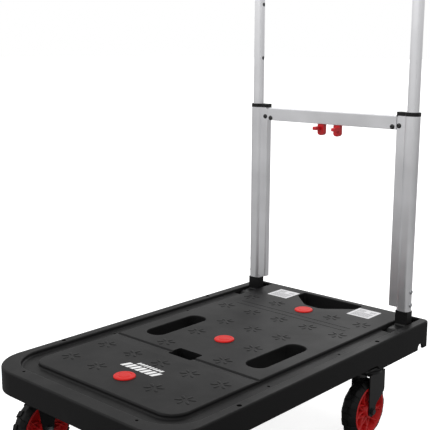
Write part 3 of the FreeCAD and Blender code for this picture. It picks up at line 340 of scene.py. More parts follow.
class Palette:
    """The materials of the cart, by the record's material slot."""

    FINISHES: Dict[str, Finish] = {
        "deck_plastic": Finish("deck_plastic", (0.0065, 0.0064, 0.0066), 0.50, dust=0.02,
                               grain_scale=1100.0, grain_depth=0.00005, specular=0.12),
        "foot_plastic": Finish("foot_plastic", (0.004, 0.004, 0.0042), 0.42, dust=0.01,
                               specular=0.22),
        "collar_plastic": Finish("collar_plastic", (0.004, 0.004, 0.0042), 0.38, dust=0.01,
                                 specular=0.3),
        "anodised_aluminium": Finish("anodised_aluminium", (0.87, 0.87, 0.89), 0.34,
                                     metallic=1.0, tone=0.05, scuff=0.15, dust=0.0,
                                     grain_depth=0.00001, lines=(1400.0, 1400.0, 5.0)),
        "cap_red": Finish("cap_red", (0.62, 0.018, 0.015), 0.45, tone=0.1, scuff=0.15,
                          dust=0.01, grain_depth=0.00002, specular=0.12),
        "lever_red": Finish("lever_red", (0.62, 0.008, 0.014), 0.33, tone=0.12, scuff=0.2,
                            dust=0.02, grain_depth=0.00002),
        "rim_red": Finish("rim_red", (0.55, 0.010, 0.010), 0.38, tone=0.2, scuff=0.2,
                          dust=0.04, grain_depth=0.00003),
        "tyre_rubber": Finish("tyre_rubber", (0.0048, 0.0048, 0.005), 0.6, grain_scale=600.0,
                              grain_depth=0.00012, tone=0.3, dust=0.015, scuff=0.2,
                              specular=0.2),
        "grip_rubber": Finish("grip_rubber", (0.018, 0.018, 0.019), 0.7, grain_scale=1500.0,
                              grain_depth=0.00014, dust=0.08, scuff=0.1, specular=0.3),
        "black_steel": Finish("black_steel", (0.006, 0.006, 0.0064), 0.38, grain_scale=1500.0,
                              grain_depth=0.00004, specular=0.3, dust=0.01, scuff=0.3),
        "zinc_steel": Finish("zinc_steel", (0.52, 0.53, 0.55), 0.34, metallic=1.0, tone=0.3,
                             scuff=0.2, dust=0.0, grain_depth=0.00003),
        "black_screws": Finish("black_screws", (0.010, 0.010, 0.011), 0.33, dust=0.0,
                               scuff=0.3, grain_depth=0.00002),
        "label_white": Finish("label_white", (0.62, 0.615, 0.63), 0.5, tone=0.03, scuff=0.1,
                              dust=0.0, grain_depth=0.00001),
    }

    def __init__(self, effects: Effects) -> None:
        """Make every material."""
        self.by_slot = {slot: f.material(effects) for slot, f in self.FINISHES.items()}
        across = Finish("aluminium_across", (0.84, 0.84, 0.86), 0.36, metallic=1.0, tone=0.05,
                        scuff=0.15, dust=0.0, grain_depth=0.00001, lines=(5.0, 1400.0, 1400.0))
        self.across = across.material(effects)
        self.print_grey = Finish("print_grey", (0.22, 0.22, 0.23), 0.5, tone=0.1,
                                 dust=0.0, grain_depth=0.00001).material(effects)
        self.print_white = Finish("print_white", (0.80, 0.80, 0.80), 0.45, tone=0.08,
                                  scuff=0.2, dust=0.05, grain_depth=0.00002).material(effects)

    def dress_nodes(self) -> None:
        """Give each CAD node the material of its slot."""
        slots = {s["node"]: s["material_slot"] for s in frame["record"]["subparts"]}
        for name, node in frame["nodes"].items():
            chosen = self.by_slot[slots[name]]
            if name in ("crossbar", "top_bar"):
                chosen = self.across
            node.data.materials.clear()
            node.data.materials.append(chosen)


# ---------------------------------------------------------------- meshes and patterns
def finish_piece(name: str, mesh: bpy.types.Mesh, body: str,
                 material: bpy.types.Material, replaces: Iterable[str] = (),
                 smooth: float = 35.0) -> bpy.types.Object:
    """Make a mesh into a finished piece that rides on a body.

    Args:
        name: Piece name.
        mesh: Its mesh, in place.
        body: CAD body that it moves with.
        material: Material for the whole piece.
        replaces: CAD nodes that it stands for.
        smooth: Edges sharper than this angle in degrees stay sharp.

    Returns:
        The piece.
    """
    mesh.name = name
    mesh.materials.clear()
    mesh.materials.append(material)
    mesh.polygons.foreach_set("material_index", [0] * len(mesh.polygons))
    mesh.shade_smooth()
    mesh.set_sharp_from_angle(angle=math.radians(smooth))
    piece = bpy.data.objects.new(name, mesh)
    bpy.context.scene.collection.objects.link(piece)
    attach(piece, body)
    nodes = list(replaces)
    if nodes:
        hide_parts(*nodes)
    LOG.info("%s: %d faces on %s", name, len(mesh.polygons), body)
    return piece


def mesh_of(bm: bmesh.types.BMesh, name: str = "part") -> bpy.types.Mesh:
    """Turn a bmesh into a mesh with faces that point outwards, and free it."""
    bmesh.ops.recalc_face_normals(bm, faces=bm.faces)
    mesh = bpy.data.meshes.new(name)
    bm.to_mesh(mesh)
    bm.free()
    return mesh


def lathe(bm: bmesh.types.BMesh, profile: Profile, centre: Vector, axis: Axis,
          segments: int) -> None:
    """Add a closed ring or a solid of revolution to a bmesh.

    Args:
        bm: Target.
        profile: Points (distance along the axis, radius); a closed outline if it doesn't
            start and end on the axis.
        centre: Point that the profile's distances start from.
        axis: Direction of the axis.
        segments: Steps round the axis.
    """
    place = Matrix.Translation(centre) @ axis.turn()
    rings: List[List[bmesh.types.BMVert]] = []
    for along, radius in profile:
        if radius < 1e-7:
            rings.append([bm.verts.new(place @ Vector((0.0, 0.0, along)))])
            continue
        ring = []
        for step in range(segments):
            angle = 2.0 * math.pi * step / segments
            point = Vector((radius * math.cos(angle), radius * math.sin(angle), along))
            ring.append(bm.verts.new(place @ point))
        rings.append(ring)
    closed = len(rings[0]) > 1
    pairs = list(zip(rings, rings[1:] + rings[:1])) if closed else list(zip(rings, rings[1:]))
    for first, second in pairs:
        for step in range(segments):
            following = (step + 1) % segments
            if len(first) == 1 and len(second) == 1:
                continue
            if len(first) == 1:
                bm.faces.new((first[0], second[step], second[following]))
            elif len(second) == 1:
                bm.faces.new((first[step], second[0], first[following]))
            else:
                bm.faces.new((first[step], second[step], second[following], first[following]))


def rounded(profile: Profile, radius: float, steps: int = 3, closed: bool = False) -> Profile:
    """Round the inner corners of a profile with short arcs."""
    points = [Vector(p) for p in profile]
    count = len(points)
    result: List[Tuple[float, float]] = []
    for index, here in enumerate(points):
        if not closed and index in (0, count - 1):
            result.append(tuple(here))
            continue
        before = points[index - 1] - here
        after = points[(index + 1) % count] - here
        reach = min(radius, before.length * 0.45, after.length * 0.45)
        start = here + before.normalized() * reach
        end = here + after.normalized() * reach
        for step in range(steps + 1):
            t = step / steps
            result.append(tuple(start.lerp(here, t).lerp(here.lerp(end, t), t)))
    return result


def loft(bm: bmesh.types.BMesh, rings: Sequence[Sequence[Vector]], caps: bool = True) -> None:
    """Join closed rings of equal length into a skin, with end faces if asked."""
    rows = [[bm.verts.new(p) for p in ring] for ring in rings]
    count = len(rows[0])
    for first, second in zip(rows, rows[1:]):
        for step in range(count):
            following = (step + 1) % count
            bm.faces.new((first[step], first[following], second[following], second[step]))
    if caps:
        bm.faces.new(list(reversed(rows[0])))
        bm.faces.new(rows[-1])


class Pattern:
    """A Geometry Nodes tree with named inputs that repeats or makes a shape."""

    def __init__(self, tree: bpy.types.NodeTree) -> None:
        """Keep the tree."""
        self.tree = tree

    def mesh(self, start: bpy.types.Mesh, **values: Any) -> bpy.types.Mesh:
        """Run the tree on a mesh and return the result as a plain mesh.

        Args:
            start: Mesh that the tree gets as its geometry.
            **values: Inputs by name, with underscores for spaces.

        Returns:
            The plain mesh.
        """
        carrier = bpy.data.objects.new("pattern_carrier", start)
        bpy.context.scene.collection.objects.link(carrier)
        modifier = carrier.modifiers.new("pattern", "NODES")
        modifier.node_group = self.tree
        sockets = {item.name: item.identifier for item in self.tree.interface.items_tree
                   if item.item_type == "SOCKET" and item.in_out == "INPUT"}
        for name, value in values.items():
            modifier[sockets[name.replace("_", " ")]] = value
        carrier.update_tag()
        graph = bpy.context.evaluated_depsgraph_get()
        made = bpy.data.meshes.new_from_object(carrier.evaluated_get(graph))
        carrier.modifiers.remove(modifier)
        bpy.data.objects.remove(carrier)
        return made


class Patterns:
    """The Geometry Nodes trees of the cart."""

    GEOMETRY = ("Geometry", "NodeSocketGeometry", None)
    MATERIAL = ("Material", "NodeSocketMaterial", None)

    def __init__(self) -> None:
        """Build each tree once."""
        self.round_array = Pattern(self._round_array())
        self.placed = Pattern(self._placed())
        self.row = Pattern(self._row())
        self.coil = Pattern(self._coil())

    @staticmethod
    def _close(g: Graph, geometry: bpy.types.NodeSocket, given: Any, out: Any) -> None:
        """End a tree with real geometry and its material."""
        real = g.add("GeometryNodeRealizeInstances", {0: geometry})
        dressed = g.add("GeometryNodeSetMaterial", {0: real.outputs[0],
                                                    "Material": given.outputs["Material"]})
        g.tree.links.new(dressed.outputs[0], out.inputs[0])

    def _round_array(self) -> bpy.types.NodeTree:
        """Copies of the given unit, turned round an axis through a centre."""
        g, given, out = socket_group(
            "round_array", "GeometryNodeTree",
            [self.GEOMETRY, ("Count", "NodeSocketInt", 8), ("Start Angle", FLOAT, 0.0),
             ("Axis", VECTOR, (0.0, 0.0, 1.0)), ("Centre", VECTOR, None), self.MATERIAL],
            [("Geometry", "NodeSocketGeometry")])
        points = g.add("GeometryNodeMeshLine", {"Count": given.outputs["Count"],
                                                "Start Location": given.outputs["Centre"],
                                                "Offset": (0.0, 0.0, 0.0)})
        index = g.add("GeometryNodeInputIndex").outputs[0]
        step = g.maths("DIVIDE", 2.0 * math.pi, given.outputs["Count"])
        angle = g.maths("ADD", given.outputs["Start Angle"], g.maths("MULTIPLY", index, step))
        turn = g.add("FunctionNodeAxisAngleToRotation", {"Axis": given.outputs["Axis"],
                                                         "Angle": angle})
        copies = g.add("GeometryNodeInstanceOnPoints", {"Points": points.outputs[0],
                                                        "Instance": given.outputs[0],
                                                        "Rotation": turn.outputs[0]})
        self._close(g, copies.outputs[0], given, out)
        return g.tree

    def _placed(self) -> bpy.types.NodeTree:
        """A copy of a unit object at each vertex of the given mesh."""
        g, given, out = socket_group(
            "placed_units", "GeometryNodeTree",
            [self.GEOMETRY, ("Unit", "NodeSocketObject", None), ("Scale", FLOAT, 1.0),
             self.MATERIAL], [("Geometry", "NodeSocketGeometry")])
        points = g.add("GeometryNodeMeshToPoints", {0: given.outputs[0]})
        unit = g.add("GeometryNodeObjectInfo", {"Object": given.outputs["Unit"],
                                                "As Instance": True})
        copies = g.add("GeometryNodeInstanceOnPoints",
                       {"Points": points.outputs[0], "Instance": unit.outputs["Geometry"],
                        "Scale": given.outputs["Scale"]})
        self._close(g, copies.outputs[0], given, out)
        return g.tree

    def _row(self) -> bpy.types.NodeTree:
        """Copies of the given unit at even steps along a line."""
        g, given, out = socket_group(
            "row_array", "GeometryNodeTree",
            [self.GEOMETRY, ("Count", "NodeSocketInt", 8), ("Start", VECTOR, None),
             ("Step", VECTOR, None), self.MATERIAL], [("Geometry", "NodeSocketGeometry")])
        points = g.add("GeometryNodeMeshLine", {"Count": given.outputs["Count"],
                                                "Start Location": given.outputs["Start"],
                                                "Offset": given.outputs["Step"]})
        copies = g.add("GeometryNodeInstanceOnPoints", {"Points": points.outputs[0],
                                                        "Instance": given.outputs[0]})
        self._close(g, copies.outputs[0], given, out)
        return g.tree

    def _coil(self) -> bpy.types.NodeTree:
        """A wire coil along X from a start point."""
        g, given, out = socket_group(
            "wire_coil", "GeometryNodeTree",
            [self.GEOMETRY, ("Turns", FLOAT, 7.0), ("Radius", FLOAT, 0.005),
             ("Length", FLOAT, 0.03), ("Wire", FLOAT, 0.0005), ("Start", VECTOR, None),
             self.MATERIAL], [("Geometry", "NodeSocketGeometry")])
        line = g.add("GeometryNodeCurveSpiral",
                     {"Resolution": 24, "Rotations": given.outputs["Turns"],
                      "Start Radius": given.outputs["Radius"],
                      "End Radius": given.outputs["Radius"], "Height": given.outputs["Length"]})
        ring = g.add("GeometryNodeCurvePrimitiveCircle",
                     {"Resolution": 8, "Radius": given.outputs["Wire"]})
        wire = g.add("GeometryNodeCurveToMesh", {"Curve": line.outputs[0],
                                                 "Profile Curve": ring.outputs[0],
                                                 "Fill Caps": True})
        laid = g.add("GeometryNodeTransform", {"Geometry": wire.outputs[0],
                                               "Translation": given.outputs["Start"],
                                               "Rotation": (0.0, math.pi / 2.0, 0.0)})
        self._close(g, laid.outputs[0], given, out)
        return g.tree


@dataclass
class Shop:
    """What each sub-assembly needs to make and dress its pieces."""

    palette: Palette
    patterns: Patterns

    def material(self, slot: str) -> bpy.types.Material:
        """Material of a slot."""
        return self.palette.by_slot[slot]

    def placed(self, unit: bpy.types.Mesh, places: Sequence[Vector], slot: str,
               scale: float = 1.0) -> bpy.types.Mesh:
        """Put a unit mesh at every place with the placed_units tree."""
        holder = bpy.data.objects.new("unit_holder", unit)
        bpy.context.scene.collection.objects.link(holder)
        points = bpy.data.meshes.new("places")
        points.from_pydata([tuple(p) for p in places], [], [])
        made = self.patterns.placed.mesh(points, Unit=holder, Scale=scale,
                                         Material=self.material(slot))
        bpy.data.objects.remove(holder)
        return made


# ---------------------------------------------------------------- deck
@dataclass
class Deck:
    """Dressing of the moulded deck: flower marks, seams, caps and printed bars."""

    shop: Shop
    top: float = 0.210
    pitch_x: float = 0.075
    pitch_y: float = 0.088
    petal_count: int = 6
    petal_start: float = 0.0045
    petal_length: float = 0.0150
    petal_width: float = 0.0066
    petal_height: float = 0.0009
    petal_turn: float = 30.0
    cap_radius: float = 0.020
    cap_rise: float = 0.0032
    cap_spacing: float = 0.264
    bar_height: float = 0.00012
    seam_rows: Tuple[float, float] = (0.208, 0.226)
    seam_half_length: float = 0.147
    ring_steps: int = 16

    def flower_places(self) -> List[Vector]:
        """Centres of the flower marks: a staggered grid less what is cut out of the panel."""
        rows = {
            -3: (-2, -1, 1, 2), -2: (-2, -1, 0, 1, 2), -1: (-1, 1), 0: (-1, 1), 1: (-1, 0, 1),
            2: (-2, -1, 0, 1, 2), 3: (-2, -1, 1, 2),
        }
        return [Vector((column * self.pitch_x, row * self.pitch_y, self.top - 0.00005))
                for row, columns in rows.items() for column in columns]

    def petal(self) -> bpy.types.Mesh:
        """One low, round-ended petal that points along +X."""
        bm = bmesh.new()
        rings = []
        for inset, height in ((0.0, 0.0), (0.0005, 0.5), (0.0013, 0.85), (0.0022, 1.0)):
            half_length = self.petal_length / 2 - inset
            half_width = self.petal_width / 2 - inset
            ring = []
            for step in range(self.ring_steps):
                angle = 2 * math.pi * step / self.ring_steps
                taper = 1.0 + 0.28 * math.cos(angle)
                ring.append(Vector((self.petal_start + self.petal_length / 2
                                    + half_length * math.cos(angle),
                                    half_width * taper * math.sin(angle),
                                    height * self.petal_height)))
            rings.append(ring)
        loft(bm, rings)
        return mesh_of(bm)

    def flowers(self) -> None:
        """Repeat the petal round a flower and the flower over the panel."""
        material = self.shop.material("deck_plastic")
        flower = self.shop.patterns.round_array.mesh(
            self.petal(), Count=self.petal_count, Start_Angle=math.radians(self.petal_turn),
            Axis=Axis.Z.value, Material=material)
        marks = self.shop.placed(flower, self.flower_places(), "deck_plastic")
        finish_piece("deck_flower_marks", marks, "root", material, smooth=60.0)

    def seams(self) -> None:
        """Two faint raised lines across the rear of the panel."""
        bm = bmesh.new()
        for y in self.seam_rows:
            rings = []
            for x in (-self.seam_half_length, self.seam_half_length):
                rings.append([Vector((x, y - 0.0011, self.top - 0.0001)),
                              Vector((x, y - 0.0006, self.top + 0.0004)),
                              Vector((x, y + 0.0006, self.top + 0.0004)),
                              Vector((x, y + 0.0011, self.top - 0.0001))])
            loft(bm, rings)
        finish_piece("deck_panel_seams", mesh_of(bm), "root",
                     self.shop.material("deck_plastic"))

    def caps(self) -> None:
        """Domed red caps with a shallow ring pressed into each."""
        rise = self.cap_rise
        r = self.cap_radius
        profile = [(-0.004, 0.0), (-0.004, r * 0.9), (0.0, r), (rise * 0.45, r),
                   (rise * 0.82, r * 0.94), (rise * 0.92, r * 0.72), (rise * 0.78, r * 0.66),
                   (rise * 0.78, r * 0.58), (rise * 0.97, r * 0.52), (rise, r * 0.2),
                   (rise, 0.0)]
        for name, row in (("front", -1), ("middle", 0), ("rear", 1)):
            bm = bmesh.new()
            lathe(bm, rounded(profile, 0.0012), Vector((0.0, row * self.cap_spacing, self.top)),
                  Axis.Z, 64)
            finish_piece(f"{name}_cap_dome", mesh_of(bm), "root",
                         self.shop.material("cap_red"), [f"{name}_cap"], 50.0)

    def bar(self, width: float, length: float, slant: float) -> bpy.types.Mesh:
        """One thin slanted bar of print with its near left corner at the origin."""
        bm = bmesh.new()
        outline = [(0.0, 0.0), (width, 0.0), (width + slant, length), (slant, length)]
        loft(bm, [[Vector((u, v, z)) for u, v in outline]
                  for z in (-0.00002, self.bar_height)])
        return mesh_of(bm)

    def printed_bars(self) -> None:
        """Two rows of slanted white bars printed on the panel."""
        white = self.shop.palette.print_white
        bm = bmesh.new()
        for width, length, slant, count, x, y, step in (
                (0.0088, 0.019, 0.007, 7, -0.050, -0.231, 0.0128),
                (0.0052, 0.008, 0.003, 8, -0.030, -0.208, 0.0082)):
            row = self.shop.patterns.row.mesh(
                self.bar(width, length, slant), Count=count, Start=Vector((x, y, self.top)),
                Step=Vector((step, 0.0, 0.0)), Material=white)
            bm.from_mesh(row)
        finish_piece("deck_printed_bars", mesh_of(bm), "root", white)

    def label_print(self) -> None:
        """Rows of plain grey strokes on each label."""
        grey = self.shop.palette.print_grey
        for side in Side:
            low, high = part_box(f"{side.label}_label")
            bm = bmesh.new()
            for width, start, count in ((0.044, 0.006, 5), (0.018, 0.034, 3), (0.014, 0.036, 2)):
                shift = 0.0 if width != 0.014 else 0.030
                row = self.shop.patterns.row.mesh(
                    self.bar(width, 0.0022, 0.0), Count=count,
                    Start=Vector((low.x + 0.006 + shift, low.y + start, high.z)),
                    Step=Vector((0.0, 0.0052, 0.0)), Material=grey)
                bm.from_mesh(row)
            finish_piece(f"{side.label}_label_strokes", mesh_of(bm), "root", grey)

    def build(self) -> None:
        """Make every piece."""
        self.flowers()
        self.seams()
        self.caps()
        self.printed_bars()
        self.label_print()


# ---------------------------------------------------------------- wheels
@dataclass
class Wheel:
    """A lugged tyre on a ribbed rim."""

    shop: Shop
    name: str
    centre: Vector
    body: str
    half_width: float = 0.0174
    tread_radius: float = 0.0594
    lug_top: float = 0.0623
    lug_end: float = 0.0160
    lug_count: int = 14
    rim_radius: float = 0.0505
    hub_radius: float = 0.014
    rib_count: int = 9
    rib_half_width: float = 0.0015
    rib_depth: float = 0.0142
    rib_dip: float = 0.0022
    rib_sweep: float = 0.42
    rib_steps: int = 8
    rim_half_width: float = 0.0171

    def tyre(self) -> None:
        """Round tyre body with two staggered rows of lugs."""
        w = self.half_width
        rim = self.rim_radius
        tread = self.tread_radius
        profile = [(-w * 0.93, rim), (-w * 0.99, rim + 0.0010), (-0.0135, tread - 0.0042),
                   (-0.0085, tread), (0.0085, tread), (0.0135, tread - 0.0042),
                   (w * 0.99, rim + 0.0010), (w * 0.93, rim)]
        bm = bmesh.new()
        lathe(bm, rounded(profile, 0.003, 3, True), self.centre, Axis.X, 96)
        rubber = self.shop.material("tyre_rubber")
        for sign in (-1.0, 1.0):
            lugs = self.shop.patterns.round_array.mesh(
                self.lug(sign), Count=self.lug_count,
                Start_Angle=(0.0 if sign < 0 else math.pi / self.lug_count),
                Axis=Axis.X.value, Centre=self.centre, Material=rubber)
            bm.from_mesh(lugs)
        finish_piece(f"{self.name}_lugged_tyre", mesh_of(bm), self.body, rubber,
                     [f"{self.name}_tyre"], 30.0)

    def lug(self, sign: float) -> bpy.types.Mesh:
        """One lug that runs from the middle of the tread down the shoulder."""
        top = self.lug_top
        low = self.tread_radius - 0.0025
        line = [(-0.0015, top, low), (0.0085, top, low), (0.0128, top - 0.0038, low - 0.0036),
                (self.lug_end, self.rim_radius + 0.0036, self.rim_radius + 0.0006)]
        bm = bmesh.new()
        rings = []
        for index, (x, high, base) in enumerate(line):
            half = (0.0052, 0.0060, 0.0064, 0.0054)[index]
            lean = (0.0030, 0.0, -0.0012, -0.0020)[index]
            ring = []
            for y, z in ((-half - 0.0006, base), (-half, high - 0.0004), (-half + 0.0007, high),
                         (half - 0.0007, high), (half, high - 0.0004), (half + 0.0006, base)):
                ring.append(Vector((sign * x, y + lean, z)))
            rings.append(ring)
        loft(bm, rings)
        return mesh_of(bm)

    def rim(self) -> None:
        """Rim ring, web and hub with curved ribs that cross between them."""
        r = self.rim_radius
        h = self.hub_radius
        edge = self.rim_half_width
        profile = [(-edge, r - 0.0005), (-edge, r - 0.0042), (-0.003, r - 0.0062),
                   (-0.0025, h + 0.002), (-0.0185, h), (-0.0187, 0.0042), (0.0187, 0.0042),
                   (0.0185, h), (0.0025, h + 0.002), (0.003, r - 0.0062), (edge, r - 0.0042),
                   (edge, r - 0.0005)]
        bm = bmesh.new()
        lathe(bm, rounded(profile, 0.0009, 2, True), self.centre, Axis.X, 96)
        red = self.shop.material("rim_red")
        for bend in (-1.0, 1.0):
            ribs = self.shop.patterns.round_array.mesh(
                self.rib(bend), Count=self.rib_count, Start_Angle=0.0, Axis=Axis.X.value,
                Centre=self.centre, Material=red)
            bm.from_mesh(ribs)
        finish_piece(f"{self.name}_ribbed_rim", mesh_of(bm), self.body, red,
                     [f"{self.name}_rim"], 40.0)

    def rib(self, bend: float) -> bpy.types.Mesh:
        """One curved rib from the hub to the ring, proud of the web on both sides."""
        bm = bmesh.new()
        inner = self.hub_radius - 0.001
        outer = self.rim_radius - 0.004
        half = self.rib_half_width
        rings = []
        for step in range(self.rib_steps + 1):
            t = step / self.rib_steps
            radius = inner + (outer - inner) * t
            angle = bend * self.rib_sweep * math.sin(math.pi * 0.5 * t) ** 1.3
            deep = self.rib_depth - self.rib_dip * math.sin(math.pi * t)
            side = Vector((0.0, -math.sin(angle), math.cos(angle)))
            across = Vector((0.0, math.cos(angle), math.sin(angle)))
            middle = side * radius
            ring = []
            for x, u in ((-deep, -half * 0.5), (-deep, half * 0.5), (-deep + 0.001, half),
                         (deep - 0.001, half), (deep, half * 0.5), (deep, -half * 0.5),
                         (deep - 0.001, -half), (-deep + 0.001, -half)):
                ring.append(middle + across * u + Vector((x, 0.0, 0.0)))
            rings.append(ring)
        loft(bm, rings)
        return mesh_of(bm)

    def build(self) -> None:
        """Make the tyre and the rim."""
        self.tyre()
        self.rim()


# ---------------------------------------------------------------- handle
@dataclass
class Handle:
    """Crossbar screws, lock springs and grip of the handle."""

    shop: Shop
    release_travel: float = 0.007
    screw_radius: float = 0.0053
    screw_height: float = 0.0026
    screw_step: float = 0.0155
    ridge_count: int = 46
    ridge_margin: float = 0.006
    coil_turns: float = 8.0
    wire_radius: float = 0.0004
    outline_steps: int = 40

    def screws(self) -> None:
        """Black button-head screws at the ends of the crossbar."""
        bm = bmesh.new()
        h = self.screw_height
        r = self.screw_radius
        profile = [(-0.001, 0.0), (-0.001, r * 0.9), (0.0, r), (h * 0.35, r * 0.99),
                   (h * 0.75, r * 0.82), (h, r * 0.55), (h, r * 0.42), (h * 0.45, r * 0.40),
                   (h * 0.45, 0.0)]
        lathe(bm, rounded(profile, 0.0003, 2), Vector(), Axis.Z, 32)
        bm.transform(Matrix.Rotation(math.radians(90.0), 4, "X"))
        places = []
        low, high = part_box("crossbar_screws")
        face = low.y + h
        for side in Side:
            outer = high.x - r
            places.append(Vector((side.sign * outer, face, high.z - r)))
            places.append(Vector((side.sign * (outer - self.screw_step), face, low.z + r)))
        made = self.shop.placed(mesh_of(bm), places, "black_screws")
        finish_piece("crossbar_button_screws", made, "handle_lower",
                     self.shop.material("black_screws"), ["crossbar_screws"], 45.0)

    def springs(self) -> None:
        """Wire coils round the lock rods, built at their rest length."""
        wire = self.wire_radius
        for side in Side:
            low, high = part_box(f"{side.label}_lock_spring")
            middle = (low + high) / 2
            radius = (high.z - low.z) / 2
            made = self.shop.patterns.coil.mesh(
                bpy.data.meshes.new("empty"), Turns=self.coil_turns, Radius=radius - wire,
                Length=high.x - low.x - 2 * wire, Wire=wire,
                Start=Vector((low.x + wire, middle.y, middle.z)),
                Material=self.shop.material("zinc_steel"))
            coil = finish_piece(f"{side.label}_lock_coil", made, "handle_lower",
                                self.shop.material("zinc_steel"),
                                [f"{side.label}_lock_spring"], 60.0)
            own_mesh(coil)

    def grip(self) -> None:
        """Rubber sleeve with fine ridges all along it."""
        low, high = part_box("grip_sleeve")
        middle = (low + high) / 2
        half_y = (high.y - low.y) / 2
        half_z = (high.z - low.z) / 2

        def section(x: float, grow: float) -> List[Vector]:
            """Obround outline of the sleeve at x."""
            radius = half_y + grow
            straight = half_z - half_y
            ring = []
            for step in range(self.outline_steps):
                angle = 2 * math.pi * step / self.outline_steps
                lift = straight if math.sin(angle) >= 0 else -straight
                ring.append(Vector((x, middle.y + radius * math.cos(angle),
                                    middle.z + lift + radius * math.sin(angle))))
            return ring

        bm = bmesh.new()
        ends = [(low.x, -0.0024), (low.x + 0.0004, -0.0012), (low.x + 0.002, -0.0006),
                (high.x - 0.002, -0.0006), (high.x - 0.0004, -0.0012), (high.x, -0.0024)]
        loft(bm, [section(x, grow) for x, grow in ends])
        ridge = bmesh.new()
        loft(ridge, [section(x, grow) for x, grow in
                     ((-0.0016, -0.0008), (-0.0008, -0.0001), (0.0, 0.0), (0.0008, -0.0001),
                      (0.0016, -0.0008))])
        rubber = self.shop.material("grip_rubber")
        step = (high.x - low.x - 2 * self.ridge_margin) / (self.ridge_count - 1)
        ridges = self.shop.patterns.row.mesh(
            mesh_of(ridge), Count=self.ridge_count,
            Start=Vector((low.x + self.ridge_margin, 0.0, 0.0)),
            Step=Vector((step, 0.0, 0.0)), Material=rubber)
        bm.from_mesh(ridges)
        finish_piece("ridged_grip", mesh_of(bm), "handle_upper", rubber,
                     ["grip_sleeve"], 50.0)

    def build(self) -> None:
        """Make every piece."""
        self.screws()
        self.springs()
        self.grip()


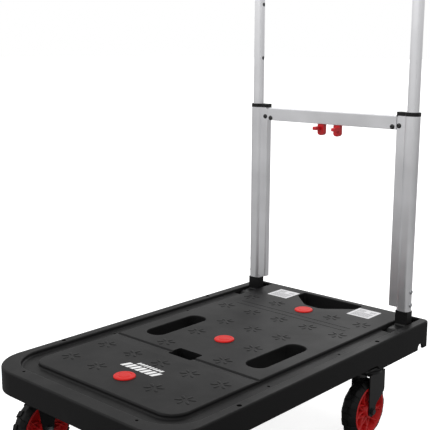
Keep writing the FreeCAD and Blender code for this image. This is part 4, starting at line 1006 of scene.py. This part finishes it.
# ---------------------------------------------------------------- studio
@dataclass
class Studio:
    """Plain pale floor, soft lights and the camera."""

    camera_place: Tuple[float, float, float] = (1.0657, -1.1970, 0.7775)
    azimuth: float = 42.37
    pitch: float = 11.125
    roll: float = 0.21
    lens: float = 70.74
    floor_size: float = 60.0
    bright_side: Tuple[float, float, float] = (-0.55, -0.83, 0.0)
    horizon: float = 0.84
    zenith: float = 0.95
    turned_away: float = 0.90
    turned_toward: float = 1.22

    def floor(self) -> None:
        """Large pale floor."""
        bm = bmesh.new()
        bmesh.ops.create_grid(bm, x_segments=4, y_segments=4, size=self.floor_size)
        mesh = bpy.data.meshes.new("floor")
        bm.to_mesh(mesh)
        bm.free()
        material = bpy.data.materials.new("floor_white")
        material.use_nodes = True
        g = Graph(material.node_tree)
        seen = g.add("ShaderNodeLightPath").outputs["Is Camera Ray"]
        glow = g.add("ShaderNodeEmission", {"Color": (1.0, 1.0, 1.0, 1.0), "Strength": 0.80})
        pale = g.add("ShaderNodeBsdfDiffuse", {"Color": (0.60, 0.60, 0.60, 1.0)})
        dull = g.add("ShaderNodeBsdfDiffuse", {"Color": (0.30, 0.30, 0.30, 1.0)})
        both = g.add("ShaderNodeAddShader", {0: glow.outputs[0], 1: pale.outputs[0]})
        mixed = g.add("ShaderNodeMixShader", {0: seen, 1: dull.outputs[0], 2: both.outputs[0]})
        g.tree.links.new(mixed.outputs[0], material.node_tree.nodes["Material Output"].inputs[0])
        mesh.materials.append(material)
        floor = bpy.data.objects.new("floor", mesh)
        bpy.context.scene.collection.objects.link(floor)

    def light(self, name: str, place: Tuple[float, float, float],
              target: Tuple[float, float, float], size: float, power: float) -> None:
        """Add a soft square light that looks at a point."""
        data = bpy.data.lights.new(name, "AREA")
        data.size = size
        data.energy = power
        lamp = bpy.data.objects.new(name, data)
        lamp.location = place
        aim = Vector(target) - Vector(place)
        lamp.rotation_euler = aim.to_track_quat("-Z", "Y").to_euler()
        bpy.context.scene.collection.objects.link(lamp)

    def camera(self) -> None:
        """Place the camera."""
        data = bpy.data.cameras.new("camera")
        data.lens = self.lens
        data.sensor_width = 36.0
        data.clip_end = 100.0
        camera = bpy.data.objects.new("camera", data)
        turn = (Matrix.Rotation(math.radians(self.azimuth), 4, "Z")
                @ Matrix.Rotation(math.radians(90.0 - self.pitch), 4, "X")
                @ Matrix.Rotation(math.radians(self.roll), 4, "Z"))
        camera.matrix_world = Matrix.Translation(self.camera_place) @ turn
        bpy.context.scene.collection.objects.link(camera)
        bpy.context.scene.camera = camera

    def world(self) -> None:
        """White behind the object, with light that comes mostly from above and the front left."""
        world = bpy.data.worlds.new("studio_white")
        world.use_nodes = True
        g = Graph(world.node_tree)
        back = world.node_tree.nodes["Background"]
        toward = g.add("ShaderNodeTexCoord").outputs["Generated"]
        height = g.add("ShaderNodeSeparateXYZ", {0: toward}).outputs[2]
        aimed = g.add("ShaderNodeVectorMath", {0: toward, 1: self.bright_side},
                      operation="DOT_PRODUCT").outputs["Value"]
        rise = g.spread(height, 0.0, 0.9, self.horizon, self.zenith)
        turn = g.spread(aimed, -1.0, 1.0, self.turned_away, self.turned_toward)
        lit = g.maths("MULTIPLY", rise, turn)
        seen = g.add("ShaderNodeLightPath").outputs["Is Camera Ray"]
        strength = g.add("ShaderNodeMix", {0: seen, 2: lit, 3: 1.0}, data_type="FLOAT")
        g.tree.links.new(strength.outputs[0], back.inputs[1])
        back.inputs[0].default_value = (1.0, 1.0, 1.0, 1.0)
        bpy.context.scene.world = world

    def build(self) -> None:
        """Make the floor, the lights and the camera."""
        self.camera()
        self.world()
        self.floor()
        self.light("key_light", (-1.4, -2.4, 2.8), (0.0, 0.0, 0.3), 1.6, 26.0)
        self.light("rear_light", (-1.2, 2.6, 2.2), (0.0, 0.0, 0.3), 1.2, 20.0)
        bpy.context.scene.view_settings.view_transform = "Standard"


def main() -> None:
    logging.basicConfig(level=logging.INFO, format="%(name)s: %(message)s")
    studio = Studio()
    studio.build()
    shop = Shop(Palette(Effects()), Patterns())
    shop.palette.dress_nodes()
    Deck(shop).build()
    Handle(shop).build()
    for side in Side:
        for end in ("front", "rear"):
            name = f"{end}_{side.label}"
            low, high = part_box(f"{name}_rim")
            Wheel(shop, name, (low + high) / 2, f"{name}_wheel").build()


if __name__ == "__main__":
    main()
